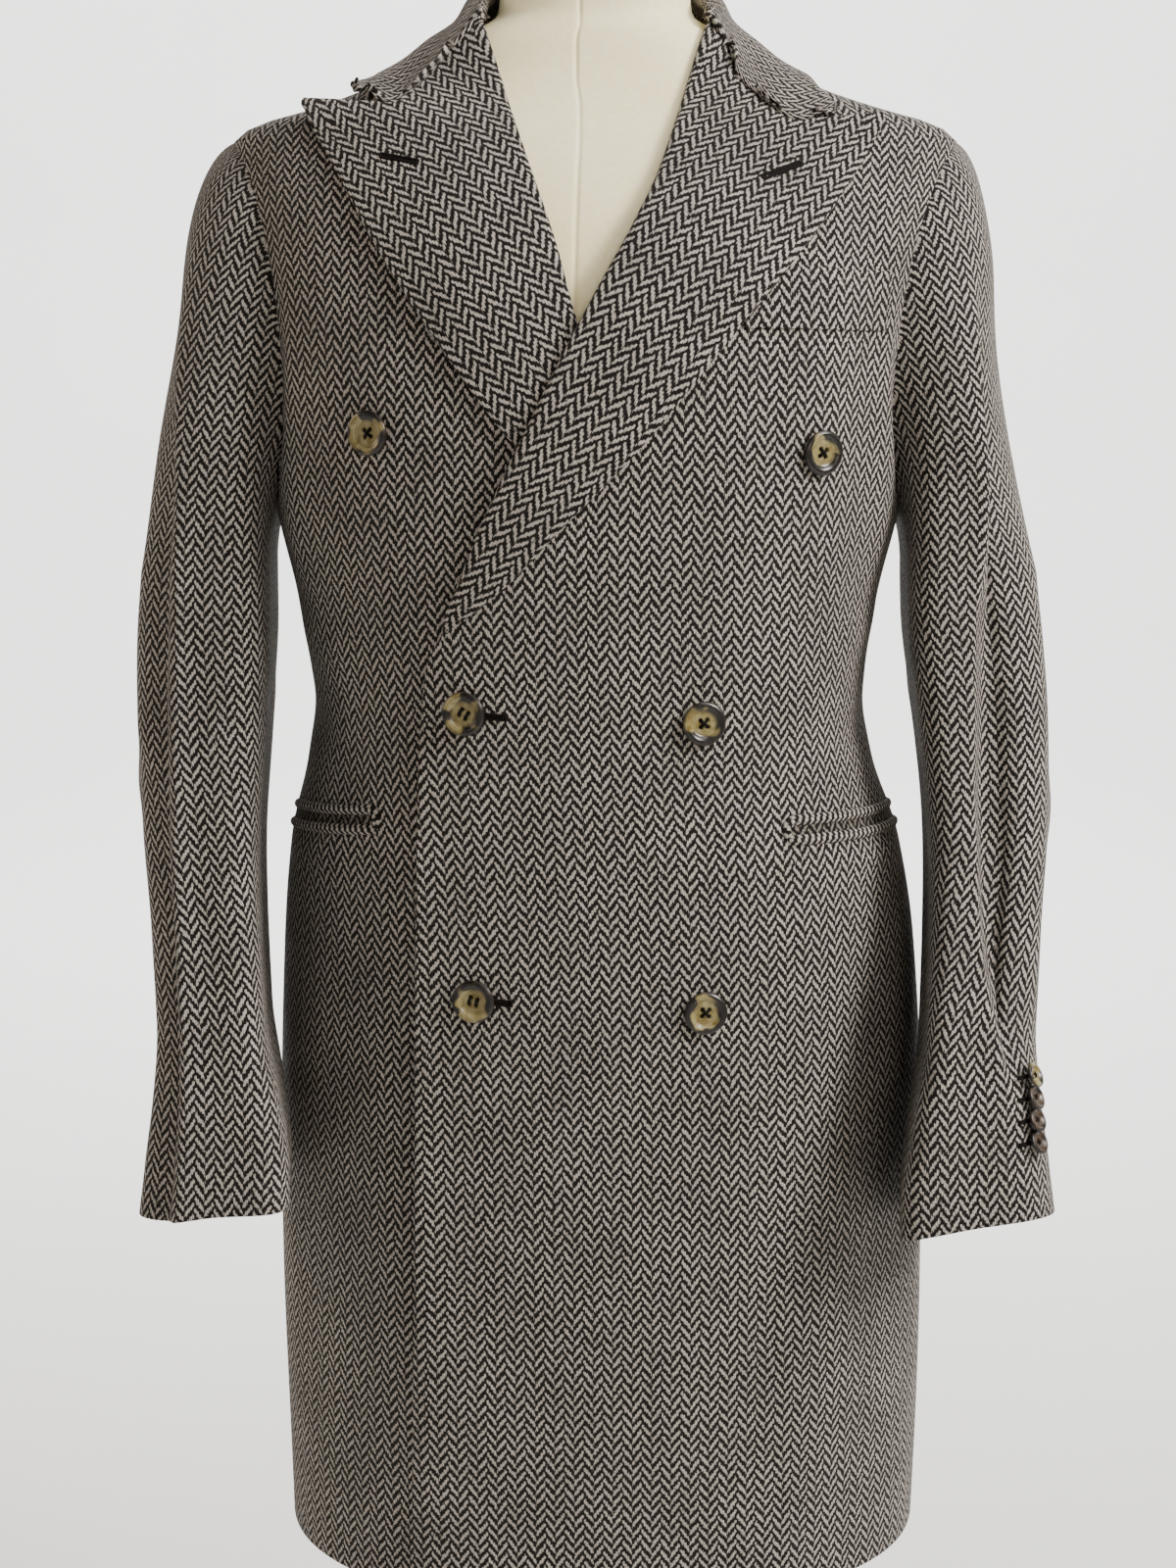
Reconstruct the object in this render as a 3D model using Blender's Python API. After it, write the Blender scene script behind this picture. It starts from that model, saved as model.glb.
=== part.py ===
"""Double-breasted overcoat on a dress form, at real size in metres, +Z up.

Every body panel lies on one torso surface, worked out from a table of level
sections, and the sleeves run down from its armholes. +X is the wearer's left
side, -Y is the front, and the origin lies on the floor under the stand.
"""
import math
from bisect import bisect_right
from collections import namedtuple

import bmesh
import bpy
from mathutils import Matrix, Vector

# Cloth thickness and the gaps between pieces
CLOTH = 0.0022
SEAM = 0.0004
LAY = 0.0012
LAYER = CLOTH + LAY
SMALL_STEP = 0.0004

# The torso inside the cloth: level sections from hem to neck
TorsoRow = namedtuple("TorsoRow", "z middle half_width front back")
TORSO = (
    TorsoRow(0.465, 0.0050, 0.1945, 0.138, 0.140),
    TorsoRow(0.610, 0.0045, 0.1970, 0.139, 0.140),
    TorsoRow(0.740, 0.0040, 0.1945, 0.139, 0.138),
    TorsoRow(0.840, 0.0030, 0.1890, 0.139, 0.132),
    TorsoRow(0.900, 0.0010, 0.1810, 0.137, 0.124),
    TorsoRow(0.950, -0.0020, 0.1665, 0.134, 0.112),
    TorsoRow(0.985, -0.0030, 0.1615, 0.133, 0.104),
    TorsoRow(1.040, -0.0045, 0.1680, 0.135, 0.104),
    TorsoRow(1.100, -0.0045, 0.1815, 0.139, 0.110),
    TorsoRow(1.150, -0.0040, 0.1885, 0.140, 0.114),
    TorsoRow(1.200, -0.0030, 0.1955, 0.134, 0.116),
    TorsoRow(1.250, -0.0020, 0.2020, 0.119, 0.112),
    TorsoRow(1.280, -0.0010, 0.2055, 0.102, 0.105),
    TorsoRow(1.303, 0.0000, 0.2050, 0.085, 0.095),
    TorsoRow(1.311, 0.0000, 0.1925, 0.0775, 0.0905),
    TorsoRow(1.317, 0.0000, 0.1710, 0.0723, 0.0868),
    TorsoRow(1.3265, -0.0010, 0.1410, 0.0655, 0.0818),
    TorsoRow(1.3345, -0.0020, 0.1215, 0.0610, 0.0782),
    TorsoRow(1.344, -0.0020, 0.1045, 0.0572, 0.0737),
    TorsoRow(1.354, -0.0020, 0.0915, 0.0543, 0.0693),
    TorsoRow(1.367, 0.0000, 0.0715, 0.050, 0.064),
    TorsoRow(1.380, 0.0000, 0.0660, 0.048, 0.061),
)
ROUNDNESS = 2.25
HEM = TORSO[0].z
NECK = 1.367

# Armholes: an oval on each side of the torso, as reach in degrees and half height
ARMHOLE_BOTTOM = 1.095
ARMHOLE_TOP = 1.303
ARMHOLE_MIDDLE = (ARMHOLE_BOTTOM + ARMHOLE_TOP) / 2
ARMHOLE_HALF = (ARMHOLE_TOP - ARMHOLE_BOTTOM) / 2
ARMHOLE_FRONT = math.radians(21.5)
ARMHOLE_BACK = math.radians(23.0)
ARMHOLE_GAP = 0.0007
TURN_STEP = 15
SIDE = math.radians(90)

# Front edges of the two fronts below the break of the lapels, seen from the wearer's left one
EdgeRow = namedtuple("EdgeRow", "z x")
FRONT_EDGE = (
    EdgeRow(0.465, -0.1047),
    EdgeRow(0.675, -0.0980),
    EdgeRow(0.790, -0.0964),
    EdgeRow(0.900, -0.0940),
    EdgeRow(0.977, -0.0910),
    EdgeRow(1.015, -0.0885),
)

# Lapels: the roll line and the outer edge, row by row from the break to the gorge
LapelRow = namedtuple("LapelRow", "roll_x roll_z edge_x edge_z")
LAPEL_LEFT = (
    LapelRow(-0.0790, 1.0375, -0.0735, 1.0415),
    LapelRow(-0.0690, 1.0600, -0.0520, 1.0600),
    LapelRow(-0.0560, 1.0940, -0.0250, 1.0890),
    LapelRow(-0.0325, 1.1460, 0.0220, 1.1380),
    LapelRow(-0.0090, 1.1940, 0.0717, 1.1980),
    LapelRow(0.0220, 1.2495, 0.1004, 1.2320),
    LapelRow(0.0346, 1.2750, 0.1300, 1.2687),
    LapelRow(0.0480, 1.3120, 0.1480, 1.2960),
)
LAPEL_RIGHT = (
    LapelRow(0.0770, 1.0375, 0.0715, 1.0415),
    LapelRow(0.0655, 1.0600, 0.0470, 1.0600),
    LapelRow(0.0490, 1.0940, 0.0080, 1.0890),
    LapelRow(0.0210, 1.1460, -0.0450, 1.1430),
    LapelRow(-0.0105, 1.1960, -0.0860, 1.1980),
    LapelRow(-0.0240, 1.2430, -0.1120, 1.2370),
    LapelRow(-0.0380, 1.2830, -0.1350, 1.2770),
    LapelRow(-0.0490, 1.3145, -0.1500, 1.3020),
)
# Top of each lapel: roll line, two points on the gorge, the notch, and out to the peak
TopPoint = namedtuple("TopPoint", "x z")
TOP_LEFT = (
    TopPoint(0.0615, 1.3600),
    TopPoint(0.0735, 1.3482),
    TopPoint(0.0880, 1.3225),
    TopPoint(0.1095, 1.3065),
    TopPoint(0.1260, 1.3075),
    TopPoint(0.1412, 1.3085),
    TopPoint(0.1570, 1.3095),
)
TOP_RIGHT = (
    TopPoint(-0.0625, 1.3600),
    TopPoint(-0.0787, 1.3476),
    TopPoint(-0.0932, 1.3293),
    TopPoint(-0.1089, 1.3145),
    TopPoint(-0.1261, 1.3145),
    TopPoint(-0.1426, 1.3143),
    TopPoint(-0.1588, 1.3130),
)
NECK_LIFT = 0.0018
NECK_LIFT_Z = (1.305, 1.340)
PEAK_LIFT = {"left": 0.0010, "right": 0.0060}
LAPEL_STEPS = 13

# Lift of the overlapping front over what lies under it
LIFT_STARTS_X = 0.156
LIFT_FULL_X = 0.112
LIFT_LAPEL_Z = (0.930, 1.024)
LIFT_ENDS_Z = (1.200, 1.300)

# Collar: from the middle of the back (u 0) to each tip (u 1)
CollarRow = namedtuple("CollarRow", "u seam_turn crest_x crest_y crest_z edge_turn edge_z bulge")
COLLAR = (
    CollarRow(0.00, 180, 0.0000, 0.0635, 1.4010, 180, 1.3400, 0.0040),
    CollarRow(0.25, 152, 0.0355, 0.0540, 1.3985, 154, 1.3400, 0.0030),
    CollarRow(0.50, 118, 0.0590, 0.0255, 1.3910, 121, 1.3390, -0.0005),
    CollarRow(0.70, 96, 0.0620, 0.0000, 1.3830, 95, 1.3360, -0.0020),
    CollarRow(0.85, 81, 0.0635, -0.0180, 1.3785, 80, 1.3345, -0.0005),
    CollarRow(1.00, 68, 0.0640, -0.0330, 1.3735, 69, 1.3190, 0.0000),
)
COLLAR_STEPS = 13
COLLAR_FOLD = 0.0028
COLLAR_FALL = (0.0, 0.25, 0.5, 0.75, 1.0)
COLLAR_CLEAR = 0.0014
COLLAR_STAND_SHARE = 0.55
COLLAR_END_STARTS = 0.72
COLLAR_END_POWER = 1.5
COLLAR_TIP = {"left": TopPoint(0.1317, 1.3125), "right": TopPoint(-0.1316, 1.3240)}
TIP_LIFT = {"left": 0.0015, "right": 0.0060}
GORGE_GAP = 0.0006

# Sleeves: rings of the outer face from the upper arm to the cuff
SleeveRow = namedtuple("SleeveRow", "z middle_x middle_y half_x half_y")
SLEEVE = (
    SleeveRow(1.060, 0.2275, 0.000, 0.0385, 0.077),
    SleeveRow(1.020, 0.2295, -0.006, 0.0400, 0.075),
    SleeveRow(0.985, 0.2308, -0.014, 0.0390, 0.073),
    SleeveRow(0.920, 0.2309, -0.031, 0.0352, 0.070),
    SleeveRow(0.852, 0.2268, -0.053, 0.0322, 0.066),
    SleeveRow(0.800, 0.2227, -0.072, 0.0316, 0.063),
    SleeveRow(0.755, 0.2198, -0.087, 0.0363, 0.060),
    SleeveRow(0.722, 0.2192, -0.096, 0.0408, 0.057),
    SleeveRow(0.695, 0.2204, -0.102, 0.0426, 0.055),
)
SLEEVE_LEAN = {"left": -0.0060, "right": 0.0010}
SLEEVE_LEAN_Z = (0.920, 1.060)
SLEEVE_AHEAD = {"left": 0.0110, "right": 0.0}
SLEEVE_AHEAD_Z = (0.760, 0.950)
SLEEVE_ROUNDNESS = 2.3
CUFF_TILT_FRONT = {"left": -0.30, "right": -0.11}
CUFF_TILT_SIDE = {"left": 0.14, "right": -0.16}
CUFF_RISE = {"left": 0.0, "right": 0.0103}
CROWN_STEPS = (0.0, 0.06, 0.16, 0.32, 0.54, 0.78)
SLEEVE_STEPS = 10
CROWN_SPREAD = -0.30
CROWN_FALL = -0.26
CROWN_FLARE = {"left": 0.30, "right": 0.22}
CROWN_LEAVE_TOP = {"left": 0.38, "right": 0.50}
CROWN_LEAVE_BOTTOM = 0.55
CROWN_ARRIVE_TOP = 1.12
CROWN_ARRIVE_BOTTOM = 0.75
SEAM_FRONT_TURN = 150
SEAM_BACK_TURN = {"left": -15, "right": -60}

# Pockets: jets follow the waist curve, the welt sits on the wearer's left chest
POCKET_INNER = {"left": math.radians(42.2), "right": math.radians(49.2)}
POCKET_OUTER = math.radians(82.0)
POCKET_INNER_Z = {"left": 0.9235, "right": 0.9275}
POCKET_OUTER_Z = {"left": 0.9165, "right": 0.9155}
JET_WIDTH = 0.0052
JET_THICK = 0.0018
MOUTH_WIDTH = 0.0042
MOUTH_THICK = 0.0008
POCKET_GAP = 0.0007
POCKET_STEPS = 12
WELT_Z = (1.1985, 1.2290)
WELT_INNER_X = (0.0755, 0.1010)
WELT_OUTER_X = (0.1570, 0.1600)
WELT_THICK = 0.0016
WELT_GAP = 0.0012
WELT_STEPS = 7

# Buttons
ButtonRow = namedtuple("ButtonRow", "x z front")
FRONT_BUTTONS = (
    ButtonRow(-0.1205, 1.1440, "right"),
    ButtonRow(0.1170, 1.1340, "left"),
    ButtonRow(-0.0685, 0.9935, "left"),
    ButtonRow(0.0565, 0.9880, "left"),
    ButtonRow(-0.0655, 0.8325, "left"),
    ButtonRow(0.0600, 0.8260, "left"),
)
ProfilePoint = namedtuple("ProfilePoint", "across up")
BUTTON_PROFILE = (
    ProfilePoint(0.00, 0.55),
    ProfilePoint(0.55, 0.60),
    ProfilePoint(0.72, 1.00),
    ProfilePoint(0.90, 1.00),
    ProfilePoint(1.00, 0.62),
    ProfilePoint(0.88, 0.00),
    ProfilePoint(0.00, 0.00),
)
BUTTON_TURNS = 14
BUTTON_RADIUS = 0.0122
BUTTON_THICK = 0.0042
BUTTON_GAP = 0.0008
SLEEVE_BUTTON_GAP = 0.0003
SLEEVE_BUTTON_RADIUS = 0.0072
SLEEVE_BUTTON_THICK = 0.0026
SLEEVE_BUTTON_FIRST = 0.7370
SLEEVE_BUTTON_PITCH = 0.0126
SLEEVE_BUTTON_COUNT = 4
SLEEVE_BUTTON_TURNS = 10
SLEEVE_BUTTON_TURN = {"left": 53, "right": -40}
SLEEVE_BUTTON_TILT = math.radians(17)

# Dress form and stand
FORM_BOTTOM = 0.800
FORM_INSET_LOW = 0.012
FORM_INSET_HIGH = 0.0021
FORM_INSET_SIDE = 0.0105
FORM_INSET_Z = (1.050, 1.300)
FORM_SIDE_Z = (1.303, 1.330)
FORM_TURNS = 32
FORM_STEPS = 9
FORM_SHOULDER = (1.260, 1.285, 1.303, 1.3115, 1.320, 1.3275, 1.335, 1.343, 1.352, 1.360)
FormRow = namedtuple("FormRow", "z half_width front back")
FORM_NECK = (
    FormRow(1.374, 0.0555, 0.0430, 0.0530),
    FormRow(1.392, 0.0535, 0.0445, 0.0510),
    FormRow(1.425, 0.0530, 0.0460, 0.0505),
)
CAP_TOP = 1.452
CAP_RADIUS = 0.0530
CAP_MIDDLE_Y = 0.0022
CAP_ROUNDING = 0.006
POLE_RADIUS = 0.0140
POLE_TURNS = 24
BASE_RADIUS = 0.170
BASE_THICK = 0.022
BASE_ROUNDING = 0.012
BASE_TURNS = 40

# Steps along the panels
LEVELS_SKIRT = 5
LEVELS_WAIST = 10
WAIST_LEVELS_FROM = 0.800
LEVELS_ABOVE = (1.312, 1.3235, 1.338, 1.353, NECK)
FRONT_STEPS = 12
BACK_STEPS = 7

# Colours as linear values
COATING = (0.27, 0.23, 0.20, 1.0)
HORN = (0.020, 0.012, 0.008, 1.0)
MOUTH = (0.012, 0.010, 0.009, 1.0)
CANVAS = (0.70, 0.61, 0.46, 1.0)
STEEL = (0.55, 0.55, 0.54, 1.0)


def lerp(a, b, t):
    """Return the value t of the way from a to b."""
    return a + (b - a) * t


def ease(value, start, end):
    """Return 0 before start, 1 after end, and a smooth step between them."""
    t = min(max((value - start) / (end - start), 0.0), 1.0)
    return t * t * (3 - 2 * t)


def read(rows, key, column, value):
    """Read a column of a table at a value of its key column, smoothly and with no overshoot."""
    keys = [getattr(row, key) for row in rows]
    values = [getattr(row, column) for row in rows]
    value = min(max(value, keys[0]), keys[-1])
    k = min(max(bisect_right(keys, value) - 1, 0), len(keys) - 2)
    slopes = [(values[i + 1] - values[i]) / (keys[i + 1] - keys[i]) for i in range(len(keys) - 1)]

    def tangent(i):
        if i == 0 or i == len(keys) - 1:
            return slopes[min(i, len(slopes) - 1)]
        before, after = slopes[i - 1], slopes[i]
        return 0.0 if before * after <= 0 else 2 * before * after / (before + after)

    step = keys[k + 1] - keys[k]
    t = (value - keys[k]) / step
    start = values[k] * (1 + 2 * t) * (1 - t) ** 2 + tangent(k) * step * t * (1 - t) ** 2
    return start + values[k + 1] * t * t * (3 - 2 * t) + tangent(k + 1) * step * t * t * (t - 1)


def ring_point(turn, z):
    """Return the point of the torso surface at a turn (0 front, +90 degrees at +X) and a height."""
    half_width = read(TORSO, "z", "half_width", z)
    depth = read(TORSO, "z", "front" if math.cos(turn) > 0 else "back", z)
    across = abs(math.sin(turn)) / half_width
    along = abs(math.cos(turn)) / depth
    radius = (across ** ROUNDNESS + along ** ROUNDNESS) ** (-1 / ROUNDNESS)
    middle = read(TORSO, "z", "middle", z)
    return Vector((middle + radius * math.sin(turn), -radius * math.cos(turn), z))


def body_point(turn, z, out):
    """Return the torso point at a turn and height, moved out along the surface normal."""
    across = ring_point(turn + SMALL_STEP, z) - ring_point(turn - SMALL_STEP, z)
    upward = ring_point(turn, z + SMALL_STEP) - ring_point(turn, z - SMALL_STEP)
    return ring_point(turn, z) + across.cross(upward).normalized() * out


def front_turn(x, z):
    """Return the turn at which the front of the torso has a given x at a height."""
    half_width = read(TORSO, "z", "half_width", z)
    depth = read(TORSO, "z", "front", z)
    x -= read(TORSO, "z", "middle", z)
    share = min(abs(x) / half_width, 0.9999)
    return math.atan2(x, depth * (1 - share ** ROUNDNESS) ** (1 / ROUNDNESS))


def overlap_lift(side, x, z):
    """Return how far the cloth of one front stands off the torso."""
    if side == "right":
        return 0.0
    layers = 1 + ease(z, *LIFT_LAPEL_Z)
    share = 1 - ease(x, LIFT_FULL_X, LIFT_STARTS_X)
    return LAYER * layers * share * (1 - ease(z, *LIFT_ENDS_Z))


def front_point(side, x, z, out):
    """Return a point over one front at x and z, out from the front's inner face."""
    return body_point(front_turn(x, z), z, out + overlap_lift(side, x, z))


def new_object(name, bm, material, collection):
    """Make an object from a bmesh, shaded smooth but for its sharp edges."""
    mesh = bpy.data.meshes.new(name)
    bm.to_mesh(mesh)
    bm.free()
    mesh.shade_smooth()
    mesh.set_sharp_from_angle(angle=math.radians(40))
    mesh.materials.append(material)
    made = bpy.data.objects.new(name, mesh)
    collection.objects.link(made)
    return made


def skin(bm, rows):
    """Add a grid whose points are given row by row, and return its vertices."""
    made = bmesh.ops.create_grid(bm, x_segments=len(rows[0]) - 1, y_segments=len(rows) - 1, size=1.0)
    places = [point for row in rows for point in row]
    for vertex, place in zip(made["verts"], places):
        vertex.co = place
    return made["verts"]


def wall(name, inner, outer, material, collection):
    """Make a closed cloth wall between an inner and an outer face, given as rows of points."""
    bm = bmesh.new()
    vertices = skin(bm, inner)
    places = [point for row in outer for point in row]
    place_of = {vertex.co.to_tuple(): place for vertex, place in zip(vertices, places)}
    made = bmesh.ops.extrude_face_region(bm, geom=bm.faces[:])
    for vertex in made["geom"]:
        if isinstance(vertex, bmesh.types.BMVert):
            vertex.co = place_of[vertex.co.to_tuple()]
    bmesh.ops.recalc_face_normals(bm, faces=bm.faces)
    return new_object(name, bm, material, collection)


def loft(name, rows, material, collection):
    """Make a closed solid through level rings of points, flat at both ends."""
    bm = bmesh.new()
    skin(bm, [row + row[:1] for row in rows])
    bmesh.ops.remove_doubles(bm, verts=bm.verts, dist=0.00001)
    bmesh.ops.holes_fill(bm, edges=bm.edges)
    bmesh.ops.recalc_face_normals(bm, faces=bm.faces)
    return new_object(name, bm, material, collection)


def face_normals(rows):
    """Return a unit normal at each point of a grid of points, by its neighbours."""
    last_row, last = len(rows) - 1, len(rows[0]) - 1
    normals = []
    for i, row in enumerate(rows):
        line = []
        for j in range(len(row)):
            along = row[min(j + 1, last)] - row[max(j - 1, 0)]
            down = rows[min(i + 1, last_row)][j] - rows[max(i - 1, 0)][j]
            line.append(along.cross(down).normalized())
        normals.append(line)
    return normals


def moved(rows, normals, distance):
    """Return the rows of points moved along their normals."""
    return [[p + n * distance for p, n in zip(*pair)] for pair in zip(rows, normals)]


def panel_levels():
    """Return the heights of a body panel's rows, those of the armhole spaced as its turns are."""
    bottom = ARMHOLE_MIDDLE - ARMHOLE_HALF - ARMHOLE_GAP
    below = [lerp(HEM, WAIST_LEVELS_FROM, k / LEVELS_SKIRT) for k in range(LEVELS_SKIRT)]
    below += [lerp(WAIST_LEVELS_FROM, bottom, k / LEVELS_WAIST) for k in range(LEVELS_WAIST)]
    turns = range(180, -1, -TURN_STEP)
    armhole = [ARMHOLE_MIDDLE + (ARMHOLE_HALF + ARMHOLE_GAP) * math.cos(math.radians(t)) for t in turns]
    return below + armhole + list(LEVELS_ABOVE)


def armhole_reach(z, most):
    """Return how far the armhole's edge lies from the side line at a height, as a turn."""
    share = (z - ARMHOLE_MIDDLE) / (ARMHOLE_HALF + ARMHOLE_GAP)
    if abs(share) >= 0.99999:
        return 0.0
    half_width = read(TORSO, "z", "half_width", ARMHOLE_MIDDLE)
    return most * math.sqrt(1 - share * share) + ARMHOLE_GAP / half_width


def seam_turn(z):
    """Return half the gap of a side or shoulder seam at a height, as a turn."""
    return SEAM / 2 / read(TORSO, "z", "half_width", z)


def front_edge_x(side, z):
    """Return the x of a front's free edge, which runs into the roll line above the break."""
    sign, lapel = (1, LAPEL_LEFT) if side == "left" else (-1, LAPEL_RIGHT)
    top = (TOP_LEFT if side == "left" else TOP_RIGHT)[0]
    edge = [EdgeRow(row.z, sign * row.x) for row in FRONT_EDGE]
    roll = [EdgeRow(row.roll_z, row.roll_x) for row in lapel]
    return read(edge + roll + [EdgeRow(top.z, top.x)], "z", "x", z)


def make_front(side, material, collection):
    """Make one front, from side seam, armhole and shoulder to its free edge."""
    sign = 1 if side == "left" else -1
    inner, outer = [], []
    for z in panel_levels():
        start = sign * (SIDE - max(armhole_reach(z, ARMHOLE_FRONT), seam_turn(z)))
        end = front_turn(front_edge_x(side, z), z)
        turns = [lerp(start, end, k / FRONT_STEPS) for k in range(FRONT_STEPS + 1)]
        lifts = [overlap_lift(side, ring_point(turn, z).x, z) for turn in turns]
        inner.append([body_point(turn, z, lift) for turn, lift in zip(turns, lifts)])
        outer.append([body_point(turn, z, lift + CLOTH) for turn, lift in zip(turns, lifts)])
    return wall("front_" + side, inner, outer, material, collection)


def make_back(side, material, collection):
    """Make one half of the back, from side seam, armhole and shoulder to the middle."""
    sign = 1 if side == "left" else -1
    inner, outer = [], []
    for z in panel_levels():
        start = SIDE + max(armhole_reach(z, ARMHOLE_BACK), seam_turn(z))
        end = math.pi - SEAM / 2 / read(TORSO, "z", "back", z)
        turns = [sign * lerp(start, end, k / BACK_STEPS) for k in range(BACK_STEPS + 1)]
        inner.append([body_point(turn, z, 0.0) for turn in turns])
        outer.append([body_point(turn, z, CLOTH) for turn in turns])
    return wall("back_" + side, inner, outer, material, collection)


def halfway(a, b):
    """Return the point halfway between two points of a lapel's top."""
    return TopPoint((a.x + b.x) / 2, (a.z + b.z) / 2)


def lapel_rows(side):
    """Return a lapel's points as rows of (x, z, extra lift) from the break to the gorge."""
    table, top = (LAPEL_LEFT, TOP_LEFT) if side == "left" else (LAPEL_RIGHT, TOP_RIGHT)
    top = [p for pair in zip(top, top[1:]) for p in (pair[0], halfway(*pair))] + [top[-1]]
    count = len(top) - 1
    keyed = [namedtuple("Keyed", ("t",) + LapelRow._fields)(k, *row) for k, row in enumerate(table)]
    rows = []
    for step in range(LAPEL_STEPS):
        t = (len(table) - 1) * step / (LAPEL_STEPS - 1)
        roll = [read(keyed, "t", name, t) for name in ("roll_x", "roll_z")]
        edge = [read(keyed, "t", name, t) for name in ("edge_x", "edge_z")]
        rows.append([(lerp(roll[0], edge[0], k / count), lerp(roll[1], edge[1], k / count), 0.0)
                     for k in range(count + 1)])
    last = rows[-1]
    peak = [(p.x, p.z, PEAK_LIFT[side] * (k / count) ** 2) for k, p in enumerate(top)]
    middle = [tuple(lerp(a, b, 0.5) for a, b in zip(*pair)) for pair in zip(last, peak)]
    return rows + [middle, peak]


def make_lapel(side, material, collection):
    """Make a lapel, lying on its front and rising a little at the peak."""
    inner, outer = [], []
    for row in lapel_rows(side):
        lifts = [LAYER + lift + NECK_LIFT * ease(z, *NECK_LIFT_Z) for x, z, lift in row]
        inner.append([front_point(side, x, z, lift) for (x, z, rise), lift in zip(row, lifts)])
        outer.append([front_point(side, x, z, lift + CLOTH) for (x, z, rise), lift in zip(row, lifts)])
    return wall("lapel_" + side, inner, outer, material, collection)


def clear_of_body(point, least):
    """Return a point moved out, where needed, to lie at least a distance off the torso."""
    turn = math.atan2(point.x - read(TORSO, "z", "middle", point.z), -point.y)
    foot = ring_point(turn, point.z)
    normal = (body_point(turn, point.z, 1.0) - foot).normalized()
    return point + normal * max(0.0, least - (point - foot).dot(normal))


def collar_column(u):
    """Return the points of the collar's inside at u, from the neck seam over the crest to its edge."""
    side, sign, share = ("left", 1, u) if u >= 0 else ("right", -1, -u)
    columns = {name: read(COLLAR, "u", name, share) for name in CollarRow._fields}
    seam = body_point(sign * math.radians(columns["seam_turn"]), NECK, CLOTH / 2)
    seam.z += SEAM + CLOTH / 4
    crest = Vector((sign * columns["crest_x"], columns["crest_y"], columns["crest_z"]))
    outward = Vector((crest.x, crest.y, 0.0)).normalized()
    fold = lerp(COLLAR_FOLD, COLLAR_FOLD / 2, share)
    near = crest - outward * fold
    over = crest + Vector((0.0, 0.0, fold))
    edge_turn = sign * math.radians(columns["edge_turn"])
    edge = body_point(edge_turn, columns["edge_z"], LAYER)
    far = crest + outward * fold
    top = TOP_LEFT if side == "left" else TOP_RIGHT
    tip = COLLAR_TIP[side]
    gorge = [front_point(side, p.x + sign * GORGE_GAP, p.z + GORGE_GAP, LAYER) for p in top[1:4]]
    end = [far] + gorge + [front_point(side, tip.x, tip.z, LAYER + TIP_LIFT[side])]
    blend = ease(share, COLLAR_END_STARTS, 1.0) ** COLLAR_END_POWER
    falls = []
    for k, w in enumerate(COLLAR_FALL):
        plain = far.lerp(edge, w) + (outward + Vector((0, 0, 1))) * columns["bulge"] * 4 * w * (1 - w)
        falls.append(clear_of_body(plain.lerp(end[k], blend), LAYER + COLLAR_CLEAR * w))
    return [seam, seam.lerp(near, COLLAR_STAND_SHARE), near, over] + falls


def make_collar(material, collection):
    """Make the collar, a strip folded at its crest and running from tip to tip."""
    count = 2 * COLLAR_STEPS
    inner = [collar_column(-1 + 2 * k / count) for k in range(count + 1)]
    outer = moved(inner, face_normals(inner), -CLOTH)
    return wall("collar", inner, outer, material, collection)


def armhole_point(side, turn):
    """Return the sleeve's point on the armhole at a turn: 0 top, 90 front, 180 bottom, 270 back."""
    sign = 1 if side == "left" else -1
    z = ARMHOLE_MIDDLE + ARMHOLE_HALF * math.cos(turn)
    most = ARMHOLE_FRONT if math.sin(turn) > 0 else ARMHOLE_BACK
    return body_point(sign * (SIDE - most * math.sin(turn)), z, CLOTH)


def sleeve_ring(side, turn, z):
    """Return the point of the sleeve's outer face on the ring at a height."""
    sign = 1 if side == "left" else -1
    size = {name: read(SLEEVE[::-1], "z", name, z) for name in SleeveRow._fields}
    power = 2 / SLEEVE_ROUNDNESS
    across = math.copysign(abs(math.cos(turn)) ** power, math.cos(turn)) * size["half_x"]
    ahead = math.copysign(abs(math.sin(turn)) ** power, math.sin(turn)) * size["half_y"]
    tilt = 1 - ease(z, SLEEVE[-1].z, SLEEVE[2].z)
    rise = across * CUFF_TILT_SIDE[side] - ahead * CUFF_TILT_FRONT[side] + CUFF_RISE[side]
    lean = SLEEVE_LEAN[side] * ease(z, *SLEEVE_LEAN_Z)
    ahead += SLEEVE_AHEAD[side] * (1 - ease(z, *SLEEVE_AHEAD_Z))
    x = sign * (size["middle_x"] + lean + across)
    return Vector((x, size["middle_y"] - ahead, z + tilt * rise))


def crown_point(side, turn, share):
    """Return a point of the sleeve head, from the armhole to the first full ring."""
    sign = 1 if side == "left" else -1
    start = armhole_point(side, turn)
    end = sleeve_ring(side, turn, SLEEVE[0].z)
    span = (end - start).length
    top = (1 + math.cos(turn)) / 2
    leave = Vector((sign, CROWN_SPREAD * math.sin(turn), CROWN_FALL * top)).normalized()
    arrive = Vector((sign * CROWN_FLARE[side] * top, 0.0, -1.0))
    leave *= span * lerp(CROWN_LEAVE_BOTTOM, CROWN_LEAVE_TOP[side], top)
    arrive *= span * lerp(CROWN_ARRIVE_BOTTOM, CROWN_ARRIVE_TOP, top)
    t = share
    point = start * (1 + 2 * t) * (1 - t) ** 2 + leave * t * (1 - t) ** 2
    return point + end * t * t * (3 - 2 * t) + arrive * t * t * (t - 1)


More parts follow.
